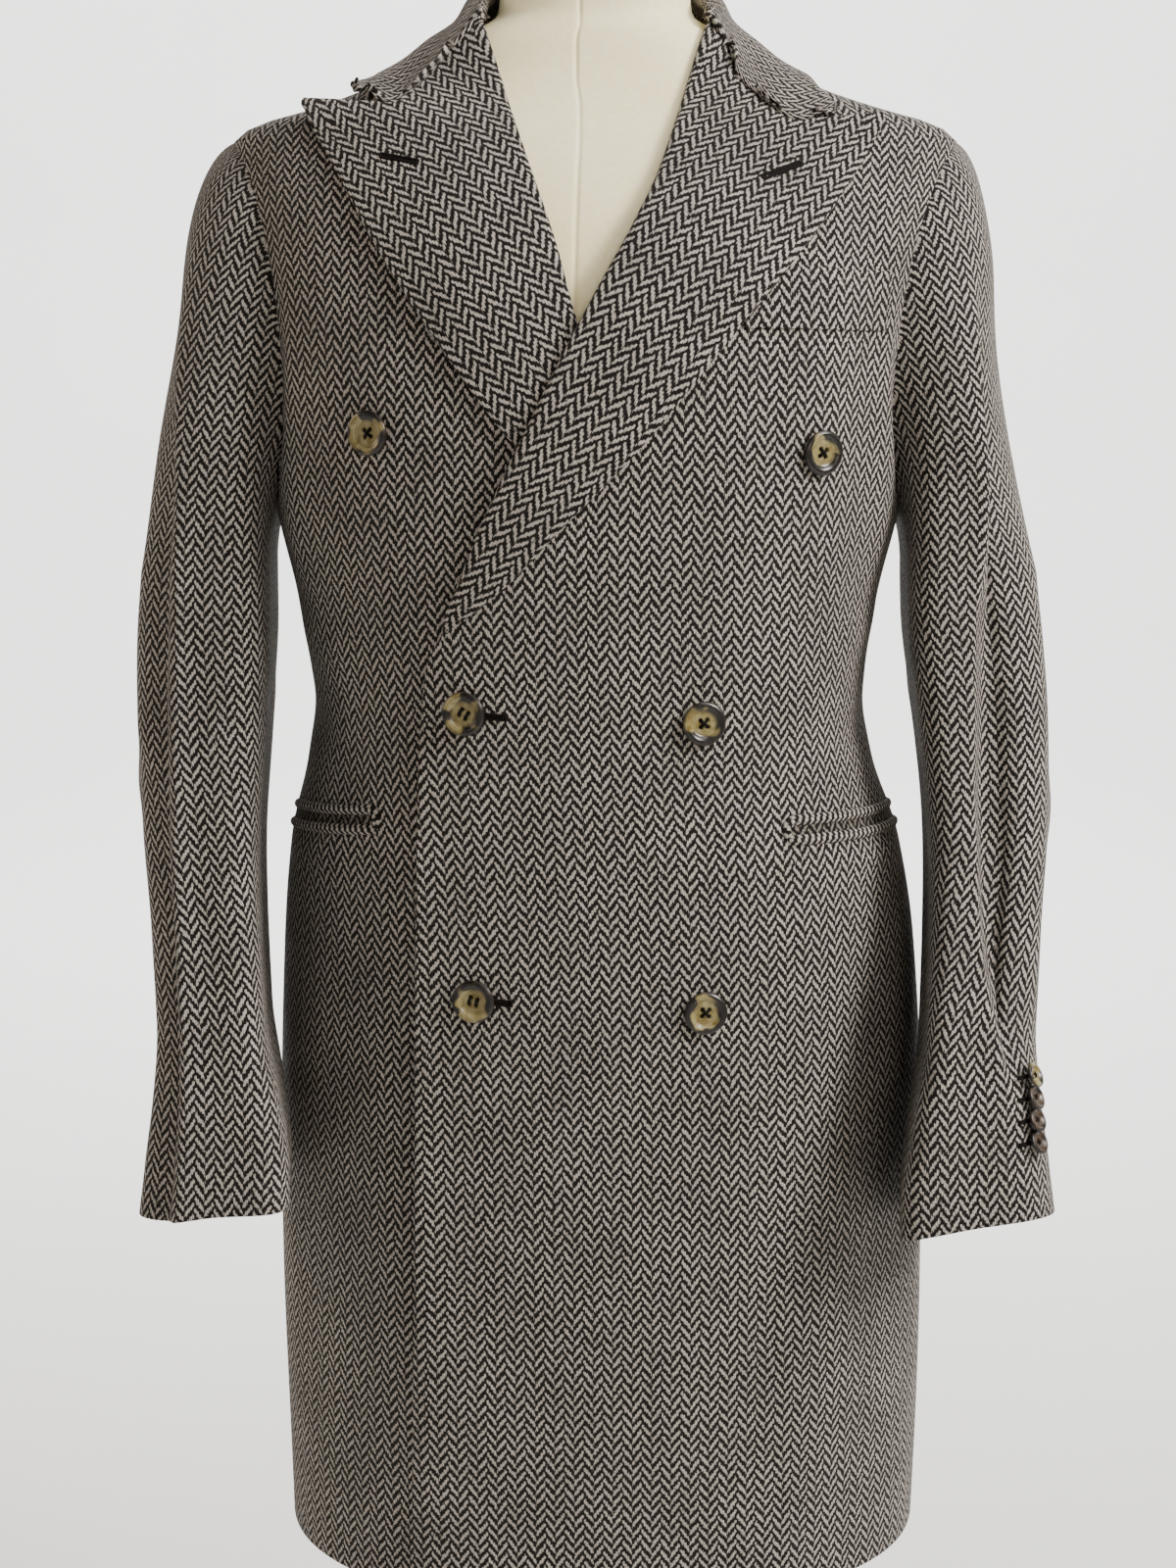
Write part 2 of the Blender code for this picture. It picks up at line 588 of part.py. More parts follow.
def sleeve_rows(side, first, last):
    """Return a sleeve piece's outer points as rows from armhole to cuff, between two turns."""
    turns = [math.radians(t) for t in range(first, last + 1, TURN_STEP)]
    crown = [[crown_point(side, turn, share) for turn in turns] for share in CROWN_STEPS]
    heights = [lerp(SLEEVE[0].z, SLEEVE[-1].z, k / SLEEVE_STEPS) for k in range(SLEEVE_STEPS + 1)]
    rings = [[sleeve_ring(side, turn, z) for turn in turns] for z in heights]
    return crown + rings


def make_sleeve_piece(side, piece, first, last, material, collection):
    """Make the top or under piece of a sleeve, a little short of its two seams."""
    sign = 1 if side == "left" else -1
    rows = sleeve_rows(side, first - TURN_STEP, last + TURN_STEP)
    normals = [line[1:-1] for line in face_normals(rows)]
    rows = [row[1:-1] for row in rows]
    for row in rows:
        row[0] = row[0] + (row[1] - row[0]).normalized() * SEAM / 2
        row[-1] = row[-1] + (row[-2] - row[-1]).normalized() * SEAM / 2
    inner = moved(rows, normals, -sign * CLOTH)
    return wall(f"sleeve_{side}_{piece}", inner, rows, material, collection)


def pocket_strip(side, low, high, start, thick):
    """Return inner and outer rows of a strip along a hip pocket, between two heights off its line."""
    sign = 1 if side == "left" else -1
    inner, outer = [], []
    for rise in (low, high):
        lines = ([], [])
        for k in range(POCKET_STEPS + 1):
            share = k / POCKET_STEPS
            turn = sign * lerp(POCKET_INNER[side], POCKET_OUTER, share)
            z = lerp(POCKET_INNER_Z[side], POCKET_OUTER_Z[side], share) + rise
            base = CLOTH + start + overlap_lift(side, ring_point(turn, z).x, z)
            lines[0].append(body_point(turn, z, base))
            lines[1].append(body_point(turn, z, base + thick))
        inner.append(lines[0])
        outer.append(lines[1])
    return inner, outer


def make_pocket(side, coating, dark, collection):
    """Make a hip pocket: its dark mouth between an upper and a lower jet."""
    half = MOUTH_WIDTH / 2
    strips = (
        ("jet_%s_upper", half + SEAM, half + SEAM + JET_WIDTH, JET_THICK, coating),
        ("jet_%s_lower", -half - SEAM - JET_WIDTH, -half - SEAM, JET_THICK, coating),
        ("mouth_%s", -half, half, MOUTH_THICK, dark),
    )
    for name, low, high, thick, material in strips:
        inner, outer = pocket_strip(side, low, high, POCKET_GAP, thick)
        wall(name % side, inner, outer, material, collection)


def make_welt(material, collection):
    """Make the breast pocket's welt on the wearer's left chest, beside the lapel."""
    inner, outer = [], []
    for z, first, last in zip(WELT_Z, WELT_INNER_X, WELT_OUTER_X):
        places = [lerp(first, last, k / WELT_STEPS) for k in range(WELT_STEPS + 1)]
        inner.append([front_point("left", x, z, CLOTH + WELT_GAP) for x in places])
        outer.append([front_point("left", x, z, CLOTH + WELT_GAP + WELT_THICK) for x in places])
    wall("welt_breast", inner, outer, material, collection)


def make_button(name, place, normal, radius, thick, steps, material, collection):
    """Make a turned button with a raised rim and a dished middle, its back at a place."""
    bm = bmesh.new()
    points = [bm.verts.new((radius * p.across, 0.0, thick * p.up)) for p in BUTTON_PROFILE]
    edges = [bm.edges.new(pair) for pair in zip(points, points[1:])]
    turn = {"cent": (0, 0, 0), "axis": (0, 0, 1), "angle": math.tau, "steps": steps, "use_merge": True}
    bmesh.ops.spin(bm, geom=points + edges, **turn)
    bmesh.ops.remove_doubles(bm, verts=bm.verts, dist=0.00001)
    bmesh.ops.recalc_face_normals(bm, faces=bm.faces)
    made = new_object(name, bm, material, collection)
    made.matrix_world = Matrix.Translation(place) @ normal.to_track_quat("Z", "Y").to_matrix().to_4x4()
    return made


def make_front_buttons(material, collection):
    """Make the six front buttons, each just off the front it is sewn to."""
    for number, row in enumerate(FRONT_BUTTONS, 1):
        base = front_point(row.front, row.x, row.z, CLOTH)
        place = front_point(row.front, row.x, row.z, CLOTH + BUTTON_GAP)
        name = f"button_front_{number}"
        size = (BUTTON_RADIUS, BUTTON_THICK, BUTTON_TURNS)
        make_button(name, place, place - base, *size, material, collection)


def make_sleeve_buttons(side, material, collection):
    """Make a sleeve's row of buttons beside its back seam."""
    turn = math.radians(SLEEVE_BUTTON_TURN[side])
    sign = 1 if side == "left" else -1
    for number in range(SLEEVE_BUTTON_COUNT):
        z = SLEEVE_BUTTON_FIRST + number * SLEEVE_BUTTON_PITCH
        along = sleeve_ring(side, turn + SMALL_STEP, z) - sleeve_ring(side, turn - SMALL_STEP, z)
        upward = sleeve_ring(side, turn, z + SMALL_STEP) - sleeve_ring(side, turn, z - SMALL_STEP)
        normal = upward.cross(along).normalized() * sign
        rise = SLEEVE_BUTTON_GAP + SLEEVE_BUTTON_RADIUS * math.sin(SLEEVE_BUTTON_TILT)
        place = sleeve_ring(side, turn, z) + normal * rise
        normal.rotate(Matrix.Rotation(SLEEVE_BUTTON_TILT, 3, normal.cross(upward)))
        name = f"button_{side}_{number + 1}"
        size = (SLEEVE_BUTTON_RADIUS, SLEEVE_BUTTON_THICK, SLEEVE_BUTTON_TURNS)
        make_button(name, place, normal, *size, material, collection)


def form_ring(middle, half_width, front, back, z):
    """Return a level ring of points of the dress form."""
    ring = []
    for k in range(FORM_TURNS):
        turn = math.tau * k / FORM_TURNS
        depth = front if math.cos(turn) > 0 else back
        across = abs(math.sin(turn)) / half_width
        along = abs(math.cos(turn)) / depth
        radius = (across ** ROUNDNESS + along ** ROUNDNESS) ** (-1 / ROUNDNESS)
        ring.append(Vector((middle + radius * math.sin(turn), -radius * math.cos(turn), z)))
    return ring


def make_form(canvas, collection):
    """Make the dress form's body up to its neck, just inside the cloth, and its cap."""
    rows = []
    heights = [lerp(FORM_BOTTOM, FORM_SHOULDER[0], k / FORM_STEPS) for k in range(FORM_STEPS)]
    for z in heights + list(FORM_SHOULDER):
        inset = lerp(FORM_INSET_LOW, FORM_INSET_HIGH, ease(z, *FORM_INSET_Z))
        at_side = max(inset, FORM_INSET_SIDE * (1 - ease(z, *FORM_SIDE_Z)))
        middle = read(TORSO, "z", "middle", z)
        half_width = read(TORSO, "z", "half_width", z) - at_side
        depths = [read(TORSO, "z", name, z) - inset for name in ("front", "back")]
        rows.append(form_ring(middle, half_width, *depths, z))
    rows += [form_ring(0.0, row.half_width, row.front, row.back, row.z) for row in FORM_NECK]
    loft("form_body", rows, canvas, collection)
    bottom = FORM_NECK[-1].z + SEAM
    bm = bmesh.new()
    size = {"radius1": CAP_RADIUS, "radius2": CAP_RADIUS, "depth": CAP_TOP - bottom}
    bmesh.ops.create_cone(bm, cap_ends=True, segments=FORM_TURNS, **size)
    rims = [edge for edge in bm.edges if abs(edge.verts[0].co.z - edge.verts[1].co.z) < 0.0001]
    bmesh.ops.bevel(bm, geom=rims, offset=CAP_ROUNDING, segments=2, profile=0.5, affect="EDGES")
    bmesh.ops.translate(bm, verts=bm.verts, vec=(0.0, CAP_MIDDLE_Y, (CAP_TOP + bottom) / 2))
    new_object("form_cap", bm, canvas, collection)


def make_stand(steel, collection):
    """Make the stand: a round base with a softened edge, and the pole that carries the form."""
    bm = bmesh.new()
    size = {"radius1": BASE_RADIUS, "radius2": BASE_RADIUS, "depth": BASE_THICK}
    bmesh.ops.create_cone(bm, cap_ends=True, segments=BASE_TURNS, **size)
    rim = [edge for edge in bm.edges if all(vertex.co.z > 0 for vertex in edge.verts)]
    bmesh.ops.bevel(bm, geom=rim, offset=BASE_ROUNDING, segments=2, profile=0.5, affect="EDGES")
    bmesh.ops.translate(bm, verts=bm.verts, vec=(0.0, 0.0, BASE_THICK / 2))
    new_object("stand_base", bm, steel, collection)
    bottom, top_z = BASE_THICK + SEAM, FORM_BOTTOM - SEAM
    bm = bmesh.new()
    size = {"radius1": POLE_RADIUS, "radius2": POLE_RADIUS, "depth": top_z - bottom}
    bmesh.ops.create_cone(bm, cap_ends=True, segments=POLE_TURNS, **size)
    bmesh.ops.translate(bm, verts=bm.verts, vec=(0.0, 0.0, (top_z + bottom) / 2))
    new_object("stand_pole", bm, steel, collection)


def new_material(name, colour, roughness, metallic):
    """Make a plain material of one colour."""
    made = bpy.data.materials.new(name)
    made.use_nodes = True
    shader = made.node_tree.nodes["Principled BSDF"]
    shader.inputs["Base Color"].default_value = colour
    shader.inputs["Roughness"].default_value = roughness
    shader.inputs["Metallic"].default_value = metallic
    return made


def main():
    """Clear the scene and build the coat, the dress form and the stand."""
    for old in list(bpy.data.objects):
        bpy.data.objects.remove(old, do_unlink=True)
    parts = bpy.data.collections.new("overcoat_on_dress_form")
    bpy.context.scene.collection.children.link(parts)
    coating = new_material("herringbone_coating", COATING, 0.9, 0.0)
    horn = new_material("dark_horn", HORN, 0.25, 0.0)
    dark = new_material("pocket_dark", MOUTH, 0.95, 0.0)
    canvas = new_material("cream_canvas", CANVAS, 0.85, 0.0)
    steel = new_material("brushed_steel", STEEL, 0.35, 1.0)
    for side in ("left", "right"):
        make_front(side, coating, parts)
        make_back(side, coating, parts)
        make_lapel(side, coating, parts)
        back_seam = SEAM_BACK_TURN[side]
        make_sleeve_piece(side, "top", back_seam, SEAM_FRONT_TURN, coating, parts)
        make_sleeve_piece(side, "under", SEAM_FRONT_TURN, back_seam + 360, coating, parts)
        make_pocket(side, coating, dark, parts)
        make_sleeve_buttons(side, horn, parts)
    make_collar(coating, parts)
    make_welt(coating, parts)
    make_front_buttons(horn, parts)
    make_form(canvas, parts)
    make_stand(steel, parts)


main()
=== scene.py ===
"""Looks of a double-breasted herringbone overcoat on a dress form and its stand.

Each cloth piece is drawn again, finer, on the sizes of its solid, with the creases that
the coat shows. Metres, +Z up, +X the wearer's left side and -Y the front.
"""
import logging
import math
from dataclasses import dataclass, replace
from enum import Enum
from typing import Any, Callable, ClassVar, NamedTuple, Optional, Sequence

import bmesh
import bpy
import numpy as np
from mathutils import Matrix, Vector


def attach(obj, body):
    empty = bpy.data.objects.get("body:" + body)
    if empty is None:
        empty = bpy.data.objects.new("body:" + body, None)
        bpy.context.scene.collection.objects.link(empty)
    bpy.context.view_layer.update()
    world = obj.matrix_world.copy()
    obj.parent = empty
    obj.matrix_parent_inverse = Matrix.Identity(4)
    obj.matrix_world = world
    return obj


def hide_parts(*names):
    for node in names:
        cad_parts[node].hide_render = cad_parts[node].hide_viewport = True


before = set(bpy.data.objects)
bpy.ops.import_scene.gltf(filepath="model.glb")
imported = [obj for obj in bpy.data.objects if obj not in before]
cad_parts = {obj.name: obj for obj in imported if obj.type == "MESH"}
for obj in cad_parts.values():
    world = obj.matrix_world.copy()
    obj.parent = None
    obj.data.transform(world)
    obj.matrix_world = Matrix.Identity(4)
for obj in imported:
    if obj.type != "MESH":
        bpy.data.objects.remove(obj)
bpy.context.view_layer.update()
LOG = logging.getLogger("overcoat")
BMesh = bmesh.types.BMesh
Material = bpy.types.Material
Piece = bpy.types.Object
# A range of values, a place in two sizes and a point in space
Span = tuple[float, float]
Place = tuple[float, float]
Spot = tuple[float, float, float]

# Cloth thickness and the gaps between pieces, as in the solids
CLOTH = 0.0022
SEAM = 0.0001
LAYER = CLOTH + 0.0012
SMALL_STEP = 0.0004
HEM = 0.465
NECK = 1.367
SIDE_TURN = math.radians(90)
FORWARD = (0, -1, 0)
BACKWARD = (0, 1, 0)
BUTTON_RADIUS = 0.0122
CUFF_BUTTON_RADIUS = 0.0072
# The turns, in degrees, along which the fronts and the backs are measured up from the hem
FRONT_CLIMB = 30
BACK_CLIMB = 150
# The shares of its run over which a crease or a fold rises and fades
CREASE_RISES = (0.0, 0.4)
CREASE_FADES = (0.6, 1.0)
FOLD_RISES = (0.0, 0.15)
FOLD_FADES = (0.75, 1.0)
# The steps up and down over which a fold's path is averaged, and the roundness of its edge
FOLD_STEPS = (-0.024, -0.008, 0.008, 0.024)
FOLD_ROUNDNESS = 0.3
# Points closer than this are one point, in thread, in cloth and in turned pieces
THREAD_WELD = 0.000002
CLOTH_WELD = 0.000005
TURNED_WELD = 0.00001
THREAD_FLATNESS = 0.8


class Side(Enum):
    """The wearer's left or right, valued by the sign of its x."""

    LEFT = 1
    RIGHT = -1

    @property
    def word(self) -> str:
        """The side's name as the pieces write it."""
        return self.name.lower()


class Hold(Enum):
    """How a button is sewn on: with a cross of thread, or with two bars where it fastens."""

    CROSS = "cross"
    BARS = "bars"


def lerp(a: Any, b: Any, t: Any) -> Any:
    """Return the value t of the way from a to b."""
    return a + (b - a) * t


def ease(value: Any, start: float, end: float) -> np.ndarray:
    """Return 0 before start, 1 after end, and a smooth step between them."""
    t = np.clip((np.asarray(value, dtype=float) - start) / (end - start), 0.0, 1.0)
    return t * t * (3 - 2 * t)


def rise_and_fade(value: Any, rises: Span, fades: Span) -> np.ndarray:
    """Return a smooth step up over one range and down again over another."""
    return ease(value, *rises) * (1 - ease(value, *fades))


def unit(vectors: np.ndarray) -> np.ndarray:
    """Return vectors scaled to length one."""
    return vectors / np.maximum(np.linalg.norm(vectors, axis=-1, keepdims=True), 1e-12)


def lengths_along(points: np.ndarray, axis: int) -> np.ndarray:
    """Return the distance run along an axis of a grid of points, from its first point."""
    steps = np.linalg.norm(np.diff(points, axis=axis), axis=-1)
    start = np.zeros_like(np.take(steps, [0], axis=axis))
    return np.cumsum(np.concatenate([start, steps], axis=axis), axis=axis)


def grid_normals(points: np.ndarray) -> np.ndarray:
    """Return a unit normal at each point of a grid of points, by its neighbours."""
    return unit(np.cross(np.gradient(points, axis=1), np.gradient(points, axis=0)))


def hermite(first: Any, last: Any, leave: Any, arrive: Any, t: Any) -> Any:
    """Return the point t of the way along the curve between two points with given tangents."""
    start = first * (1 + 2 * t) * (1 - t) ** 2 + leave * t * (1 - t) ** 2
    return start + last * t * t * (3 - 2 * t) + arrive * t * t * (t - 1)


def curve_through(keys: np.ndarray, values: np.ndarray, tangents: np.ndarray, at: Any) -> np.ndarray:
    """Read the smooth curve through a row of values or points.

    Args:
        keys: A rising key for each value.
        values: The values, or the points.
        tangents: The curve's slope at each key.
        at: The keys to read it at.

    Returns:
        The curve's values or points there.
    """
    k = np.clip(np.searchsorted(keys, at, side="right") - 1, 0, len(keys) - 2)
    step = keys[k + 1] - keys[k]
    t = (at - keys[k]) / step
    if values.ndim > 1:
        step, t = step[:, None], t[:, None]
    return hermite(values[k], values[k + 1], tangents[k] * step, tangents[k + 1] * step, t)


def round_corners(grid: np.ndarray, ends: Sequence[int], passes: int) -> None:
    """Round a grid's corners, in place, where its last column meets its end rows.

    Args:
        grid: Values or points, as rows by columns.
        ends: The end rows, 0 or -1.
        passes: How often each edge is drawn towards the middle of its neighbours.
    """
    for _ in range(passes):
        for line in (grid[:, -1], *(grid[end] for end in ends)):
            line[1:-1] = lerp(line[1:-1], (line[:-2] + line[2:]) / 2, 0.5)
        for end in ends:
            beside = 1 if end == 0 else -2
            grid[end, -1] = lerp(grid[end, -1], (grid[beside, -1] + grid[end, -2]) / 2, 0.5)


def oval_radius(turn: Any, half_width: Any, depth: Any, roundness: float) -> np.ndarray:
    """Return the radius of a squared oval at turns from its front."""
    across, along = np.abs(np.sin(turn)) / half_width, np.abs(np.cos(turn)) / depth
    return (across ** roundness + along ** roundness) ** (-1 / roundness)


class Table:
    """Sizes in named columns, read smoothly and with no overshoot."""

    def __init__(self, columns: str, *rows: Sequence[float]) -> None:
        """Keep the rows; the first column is the key, which rises from row to row.

        Args:
            columns: The columns' names, parted by spaces.
            rows: One row of sizes for each key.
        """
        values = np.array(rows, dtype=float)
        self.keys = values[:, 0]
        self.columns = dict(zip(columns.split(), values.T))

    def read(self, name: str, at: Any) -> np.ndarray:
        """Read one column.

        Args:
            name: The column's name.
            at: Values of the key column.

        Returns:
            The column's values there.
        """
        keys, values = self.keys, self.columns[name]
        slopes = np.diff(values) / np.diff(keys)
        before, after = slopes[:-1], slopes[1:]
        alike = before * after > 0
        inner = np.where(alike, 2 * before * after / np.where(alike, before + after, 1.0), 0.0)
        tangents = np.concatenate([slopes[:1], inner, slopes[-1:]])
        return curve_through(keys, values, tangents, np.clip(at, keys[0], keys[-1]))


class Crease(NamedTuple):
    """A soft ridge of the cloth between two places, or a trough where its height is below zero."""

    start: Place
    end: Place
    width: float
    height: float
    bow: float = 0.0

    def out(self, turn: np.ndarray, z: np.ndarray, radius: float) -> np.ndarray:
        """Return how far the crease moves the cloth out; its places are (degrees round, height)."""
        first, last = (np.array((math.radians(place[0]) * radius, place[1])) for place in self[:2])
        run = last - first
        length = float(np.hypot(*run))
        across, up = turn * radius - first[0], z - first[1]
        along = (across * run[0] + up * run[1]) / length ** 2
        away = (across * run[1] - up * run[0]) / length - self.bow * 4 * along * (1 - along)
        taper = rise_and_fade(along, CREASE_RISES, CREASE_FADES)
        return self.height * taper * np.exp(-0.5 * (away / self.width) ** 2)


class Fold(NamedTuple):
    """A long fold down a path of (degrees round, height): a soft edge, or a step back up."""

    path: tuple[Place, ...]
    width: float
    height: float
    back_in: float = 0.0
    aside: float = 0.0

    def out(self, turn: np.ndarray, z: np.ndarray, radius: float) -> np.ndarray:
        """Return how far the fold moves the cloth out; a step goes down towards lower turns."""
        places, heights = np.array(self.path[::-1]).T
        path = np.radians(places + self.aside)
        smooth = [np.interp(z + step, heights, path) for step in FOLD_STEPS]
        away = (np.mean(smooth, axis=0) - turn) * radius
        share = (z - heights[0]) / (heights[-1] - heights[0])
        if self.back_in:
            half = self.width / 2
            shape = -rise_and_fade(away, (-half, half), (half, half + self.back_in))
        else:
            shape = np.exp(FOLD_ROUNDNESS - np.hypot(away / self.width, FOLD_ROUNDNESS))
        return self.height * rise_and_fade(share, FOLD_RISES, FOLD_FADES) * shape


def relief(bends: Sequence[Crease | Fold], swell: float, turn: Any, z: Any, radius: float) -> np.ndarray:
    """Add up how far hanging cloth moves out.

    Args:
        bends: Its creases and folds.
        swell: The size of its slow unevenness, 10 to 20 cm from hollow to hollow.
        turn: Turns of the points, in radians.
        z: Heights of the points.
        radius: The radius at which a turn is taken as a distance.

    Returns:
        The distance out at each point.
    """
    turn, up = np.broadcast_arrays(np.asarray(turn, dtype=float), np.asarray(z, dtype=float))
    across = turn * radius
    waves = np.sin(31 * across + 9 * up + 1.3) + 0.7 * np.sin(23 * up - 17 * across + 0.4)
    total = swell * (waves + 0.5 * np.sin(57 * across - 13 * up + 2.2))
    for bend in bends:
        total = total + bend.out(turn, up, radius)
    return total


@dataclass
class Torso:
    """The surface that the coat's inside lies on, as level sections from hem to neck."""

    roundness: float = 2.25
    crease_radius: float = 0.165
    swell: float = 0.0004
    widest: float = 0.9999
    grain_turns: int = 181
    grain_levels: int = 400
    grain_top: float = 1.40
    lift_x: Span = (0.112, 0.156)
    lift_lapel_z: Span = (0.930, 1.024)
    lift_ends_z: Span = (1.200, 1.300)
    edge_lift: float = 0.0030
    edge_lift_x: Span = (-0.105, -0.030)
    edge_lift_z: Span = (0.950, 1.020)
    edge_curl: float = 0.0032
    edge_curl_x: Span = (-0.098, -0.081)
    edge_curl_z: Span = (0.560, 0.800)
    sections: Table = Table(
        "z middle half_width front back",
        (0.465, 0.0050, 0.1945, 0.138, 0.140),
        (0.610, 0.0045, 0.1970, 0.139, 0.140),
        (0.740, 0.0040, 0.1945, 0.139, 0.138),
        (0.840, 0.0030, 0.1890, 0.139, 0.132),
        (0.900, 0.0010, 0.1810, 0.137, 0.124),
        (0.950, -0.0020, 0.1665, 0.134, 0.112),
        (0.985, -0.0030, 0.1615, 0.133, 0.104),
        (1.040, -0.0045, 0.1680, 0.135, 0.104),
        (1.100, -0.0045, 0.1815, 0.139, 0.110),
        (1.150, -0.0040, 0.1885, 0.140, 0.114),
        (1.200, -0.0030, 0.1955, 0.134, 0.116),
        (1.250, -0.0020, 0.2020, 0.119, 0.112),
        (1.280, -0.0010, 0.2055, 0.102, 0.105),
        (1.303, 0.0000, 0.2050, 0.085, 0.095),
        (1.311, 0.0000, 0.1925, 0.0775, 0.0905),
        (1.317, 0.0000, 0.1710, 0.0723, 0.0868),
        (1.3265, -0.0010, 0.1410, 0.0655, 0.0818),
        (1.3345, -0.0020, 0.1215, 0.0610, 0.0782),
        (1.344, -0.0020, 0.1045, 0.0572, 0.0737),
        (1.354, -0.0020, 0.0915, 0.0543, 0.0693),
        (1.367, 0.0000, 0.0715, 0.050, 0.064),
        (1.380, 0.0000, 0.0660, 0.048, 0.061),
    )
    creases: tuple[Crease, ...] = (
        Crease((-44, 0.78), (-36, 0.50), 0.016, 0.0030, 0.004),
        Crease((-58, 0.86), (-66, 0.52), 0.018, -0.0035),
        Crease((60, 0.88), (70, 0.50), 0.020, -0.0035),
        Crease((46, 0.80), (50, 0.48), 0.018, 0.0022, -0.004),
        Crease((-52, 0.905), (-84, 0.895), 0.007, 0.0026),
        Crease((46, 0.905), (84, 0.895), 0.007, 0.0026),
        Crease((-60, 0.955), (-88, 0.990), 0.008, -0.0022),
        Crease((-50, 1.010), (-84, 1.030), 0.009, 0.0016),
        Crease((58, 0.960), (88, 0.985), 0.008, -0.0020),
        Crease((52, 1.015), (86, 1.040), 0.010, 0.0016),
        Crease((-62, 1.16), (-70, 1.03), 0.010, 0.0022, 0.003),
        Crease((60, 1.18), (72, 1.04), 0.011, 0.0022, -0.003),
        Crease((18, 0.985), (48, 0.965), 0.010, 0.0010),
        Crease((-18, 0.985), (-40, 0.962), 0.009, 0.0010),
        Crease((112, 0.99), (160, 0.975), 0.009, -0.0022, 0.004),
        Crease((-110, 0.985), (-158, 0.98), 0.010, -0.0022, -0.003),
        Crease((118, 1.03), (168, 1.05), 0.011, 0.0018),
        Crease((-122, 1.035), (-166, 1.045), 0.010, 0.0018),
        Crease((128, 1.20), (112, 1.08), 0.013, 0.0022, 0.004),
        Crease((-130, 1.19), (-113, 1.07), 0.012, 0.0022, -0.004),
        Crease((150, 0.90), (144, 0.50), 0.022, 0.0040),
        Crease((-148, 0.88), (-152, 0.49), 0.020, 0.0036),
        Crease((124, 0.86), (118, 0.48), 0.020, -0.0040),
        Crease((-122, 0.84), (-117, 0.50), 0.022, -0.0036),
    )

    def ring(self, turn: Any, z: Any) -> np.ndarray:
        """Return points of the surface at turns (0 front, +90 degrees at +X) and heights."""
        turn, z = np.broadcast_arrays(np.asarray(turn, dtype=float), np.asarray(z, dtype=float))
        depths = [self.sections.read(name, z) for name in ("front", "back")]
        depth = np.where(np.cos(turn) > 0, *depths)
        radius = oval_radius(turn, self.sections.read("half_width", z), depth, self.roundness)
        x = self.sections.read("middle", z) + radius * np.sin(turn)
        return np.stack([x, -radius * np.cos(turn), z], axis=-1)

    def normal(self, turn: Any, z: Any) -> np.ndarray:
        """Return the outward normal of the surface."""
        turn, z = np.asarray(turn, dtype=float), np.asarray(z, dtype=float)
        across = self.ring(turn + SMALL_STEP, z) - self.ring(turn - SMALL_STEP, z)
        upward = self.ring(turn, z + SMALL_STEP) - self.ring(turn, z - SMALL_STEP)
        return unit(np.cross(across, upward))

    def point(self, turn: Any, z: Any, out: Any) -> np.ndarray:
        """Return points moved out along the normal, creases included."""
        moved = out + relief(self.creases, self.swell, turn, z, self.crease_radius)
        return self.ring(turn, z) + self.normal(turn, z) * moved[..., None]

    def front_turn(self, x: Any, z: Any) -> np.ndarray:
        """Return the turn at which the front of the surface has a given x at a height."""
        x = np.asarray(x, dtype=float) - self.sections.read("middle", z)
        share = np.minimum(np.abs(x) / self.sections.read("half_width", z), self.widest)
        power = 1 / self.roundness
        return np.arctan2(x, self.sections.read("front", z) * (1 - share ** self.roundness) ** power)

    def overlap_lift(self, side: Side, x: Any, z: Any) -> np.ndarray:
        """Return how far the cloth of one front stands off the torso, over what lies under it."""
        if side is Side.RIGHT:
            return np.zeros(np.broadcast(x, z).shape)
        layers = 1 + ease(z, *self.lift_lapel_z)
        share = 1 - ease(x, *self.lift_x)
        edge = self.edge_lift * (1 - ease(x, *self.edge_lift_x))
        curl = self.edge_curl * (1 - ease(x, *self.edge_curl_x)) * ease(z, *self.edge_curl_z)
        free = (edge + curl) * (1 - ease(z, *self.edge_lift_z))
        return LAYER * layers * share * (1 - ease(z, *self.lift_ends_z)) + free

    def front_point(self, side: Side, x: Any, z: Any, out: Any) -> np.ndarray:
        """Return points over one front at x and z, out from that front's inner face."""
        return self.point(self.front_turn(x, z), z, out + self.overlap_lift(side, x, z))

    def clear(self, point: np.ndarray, least: float) -> np.ndarray:
        """Return a point moved out, where needed, to lie at least a distance off the torso."""
        turn = np.arctan2(point[0] - self.sections.read("middle", point[2]), -point[1])
        foot, normal = self.ring(turn, point[2]), self.normal(turn, point[2])
        return point + normal * max(0.0, least - float(np.dot(point - foot, normal)))

    def grain(self, turn: Any, z: Any, climb_turn: float) -> np.ndarray:
        """Return places on the flat cloth: across from the middle of the front, and up from the hem.

        Args:
            turn: Turns of the points, rows by columns.
            z: Heights of the points, of the same shape.
            climb_turn: The turn, in degrees, along which the cloth's height is measured.

        Returns:
            The places as rows by columns by (across, up).
        """
        steps = np.linspace(0, math.pi, self.grain_turns)
        flat_turn, flat_z = np.ravel(turn), np.ravel(z)
        levels, which = np.unique(np.round(flat_z, 4), return_inverse=True)
        across = lengths_along(self.ring(steps[None, :], levels[:, None]), 1)
        whole = np.abs(flat_turn) / steps[1]
        low = np.clip(whole.astype(int), 0, len(steps) - 2)
        share = whole - low
        arc = lerp(across[which, low], across[which, low + 1], share) * np.sign(flat_turn)
        heights = np.linspace(HEM, self.grain_top, self.grain_levels)
        climb = lengths_along(self.ring(math.radians(climb_turn), heights), 0)
        up = np.interp(flat_z, heights, climb)
        return np.stack([arc, up], axis=-1).reshape(*np.shape(turn), 2)


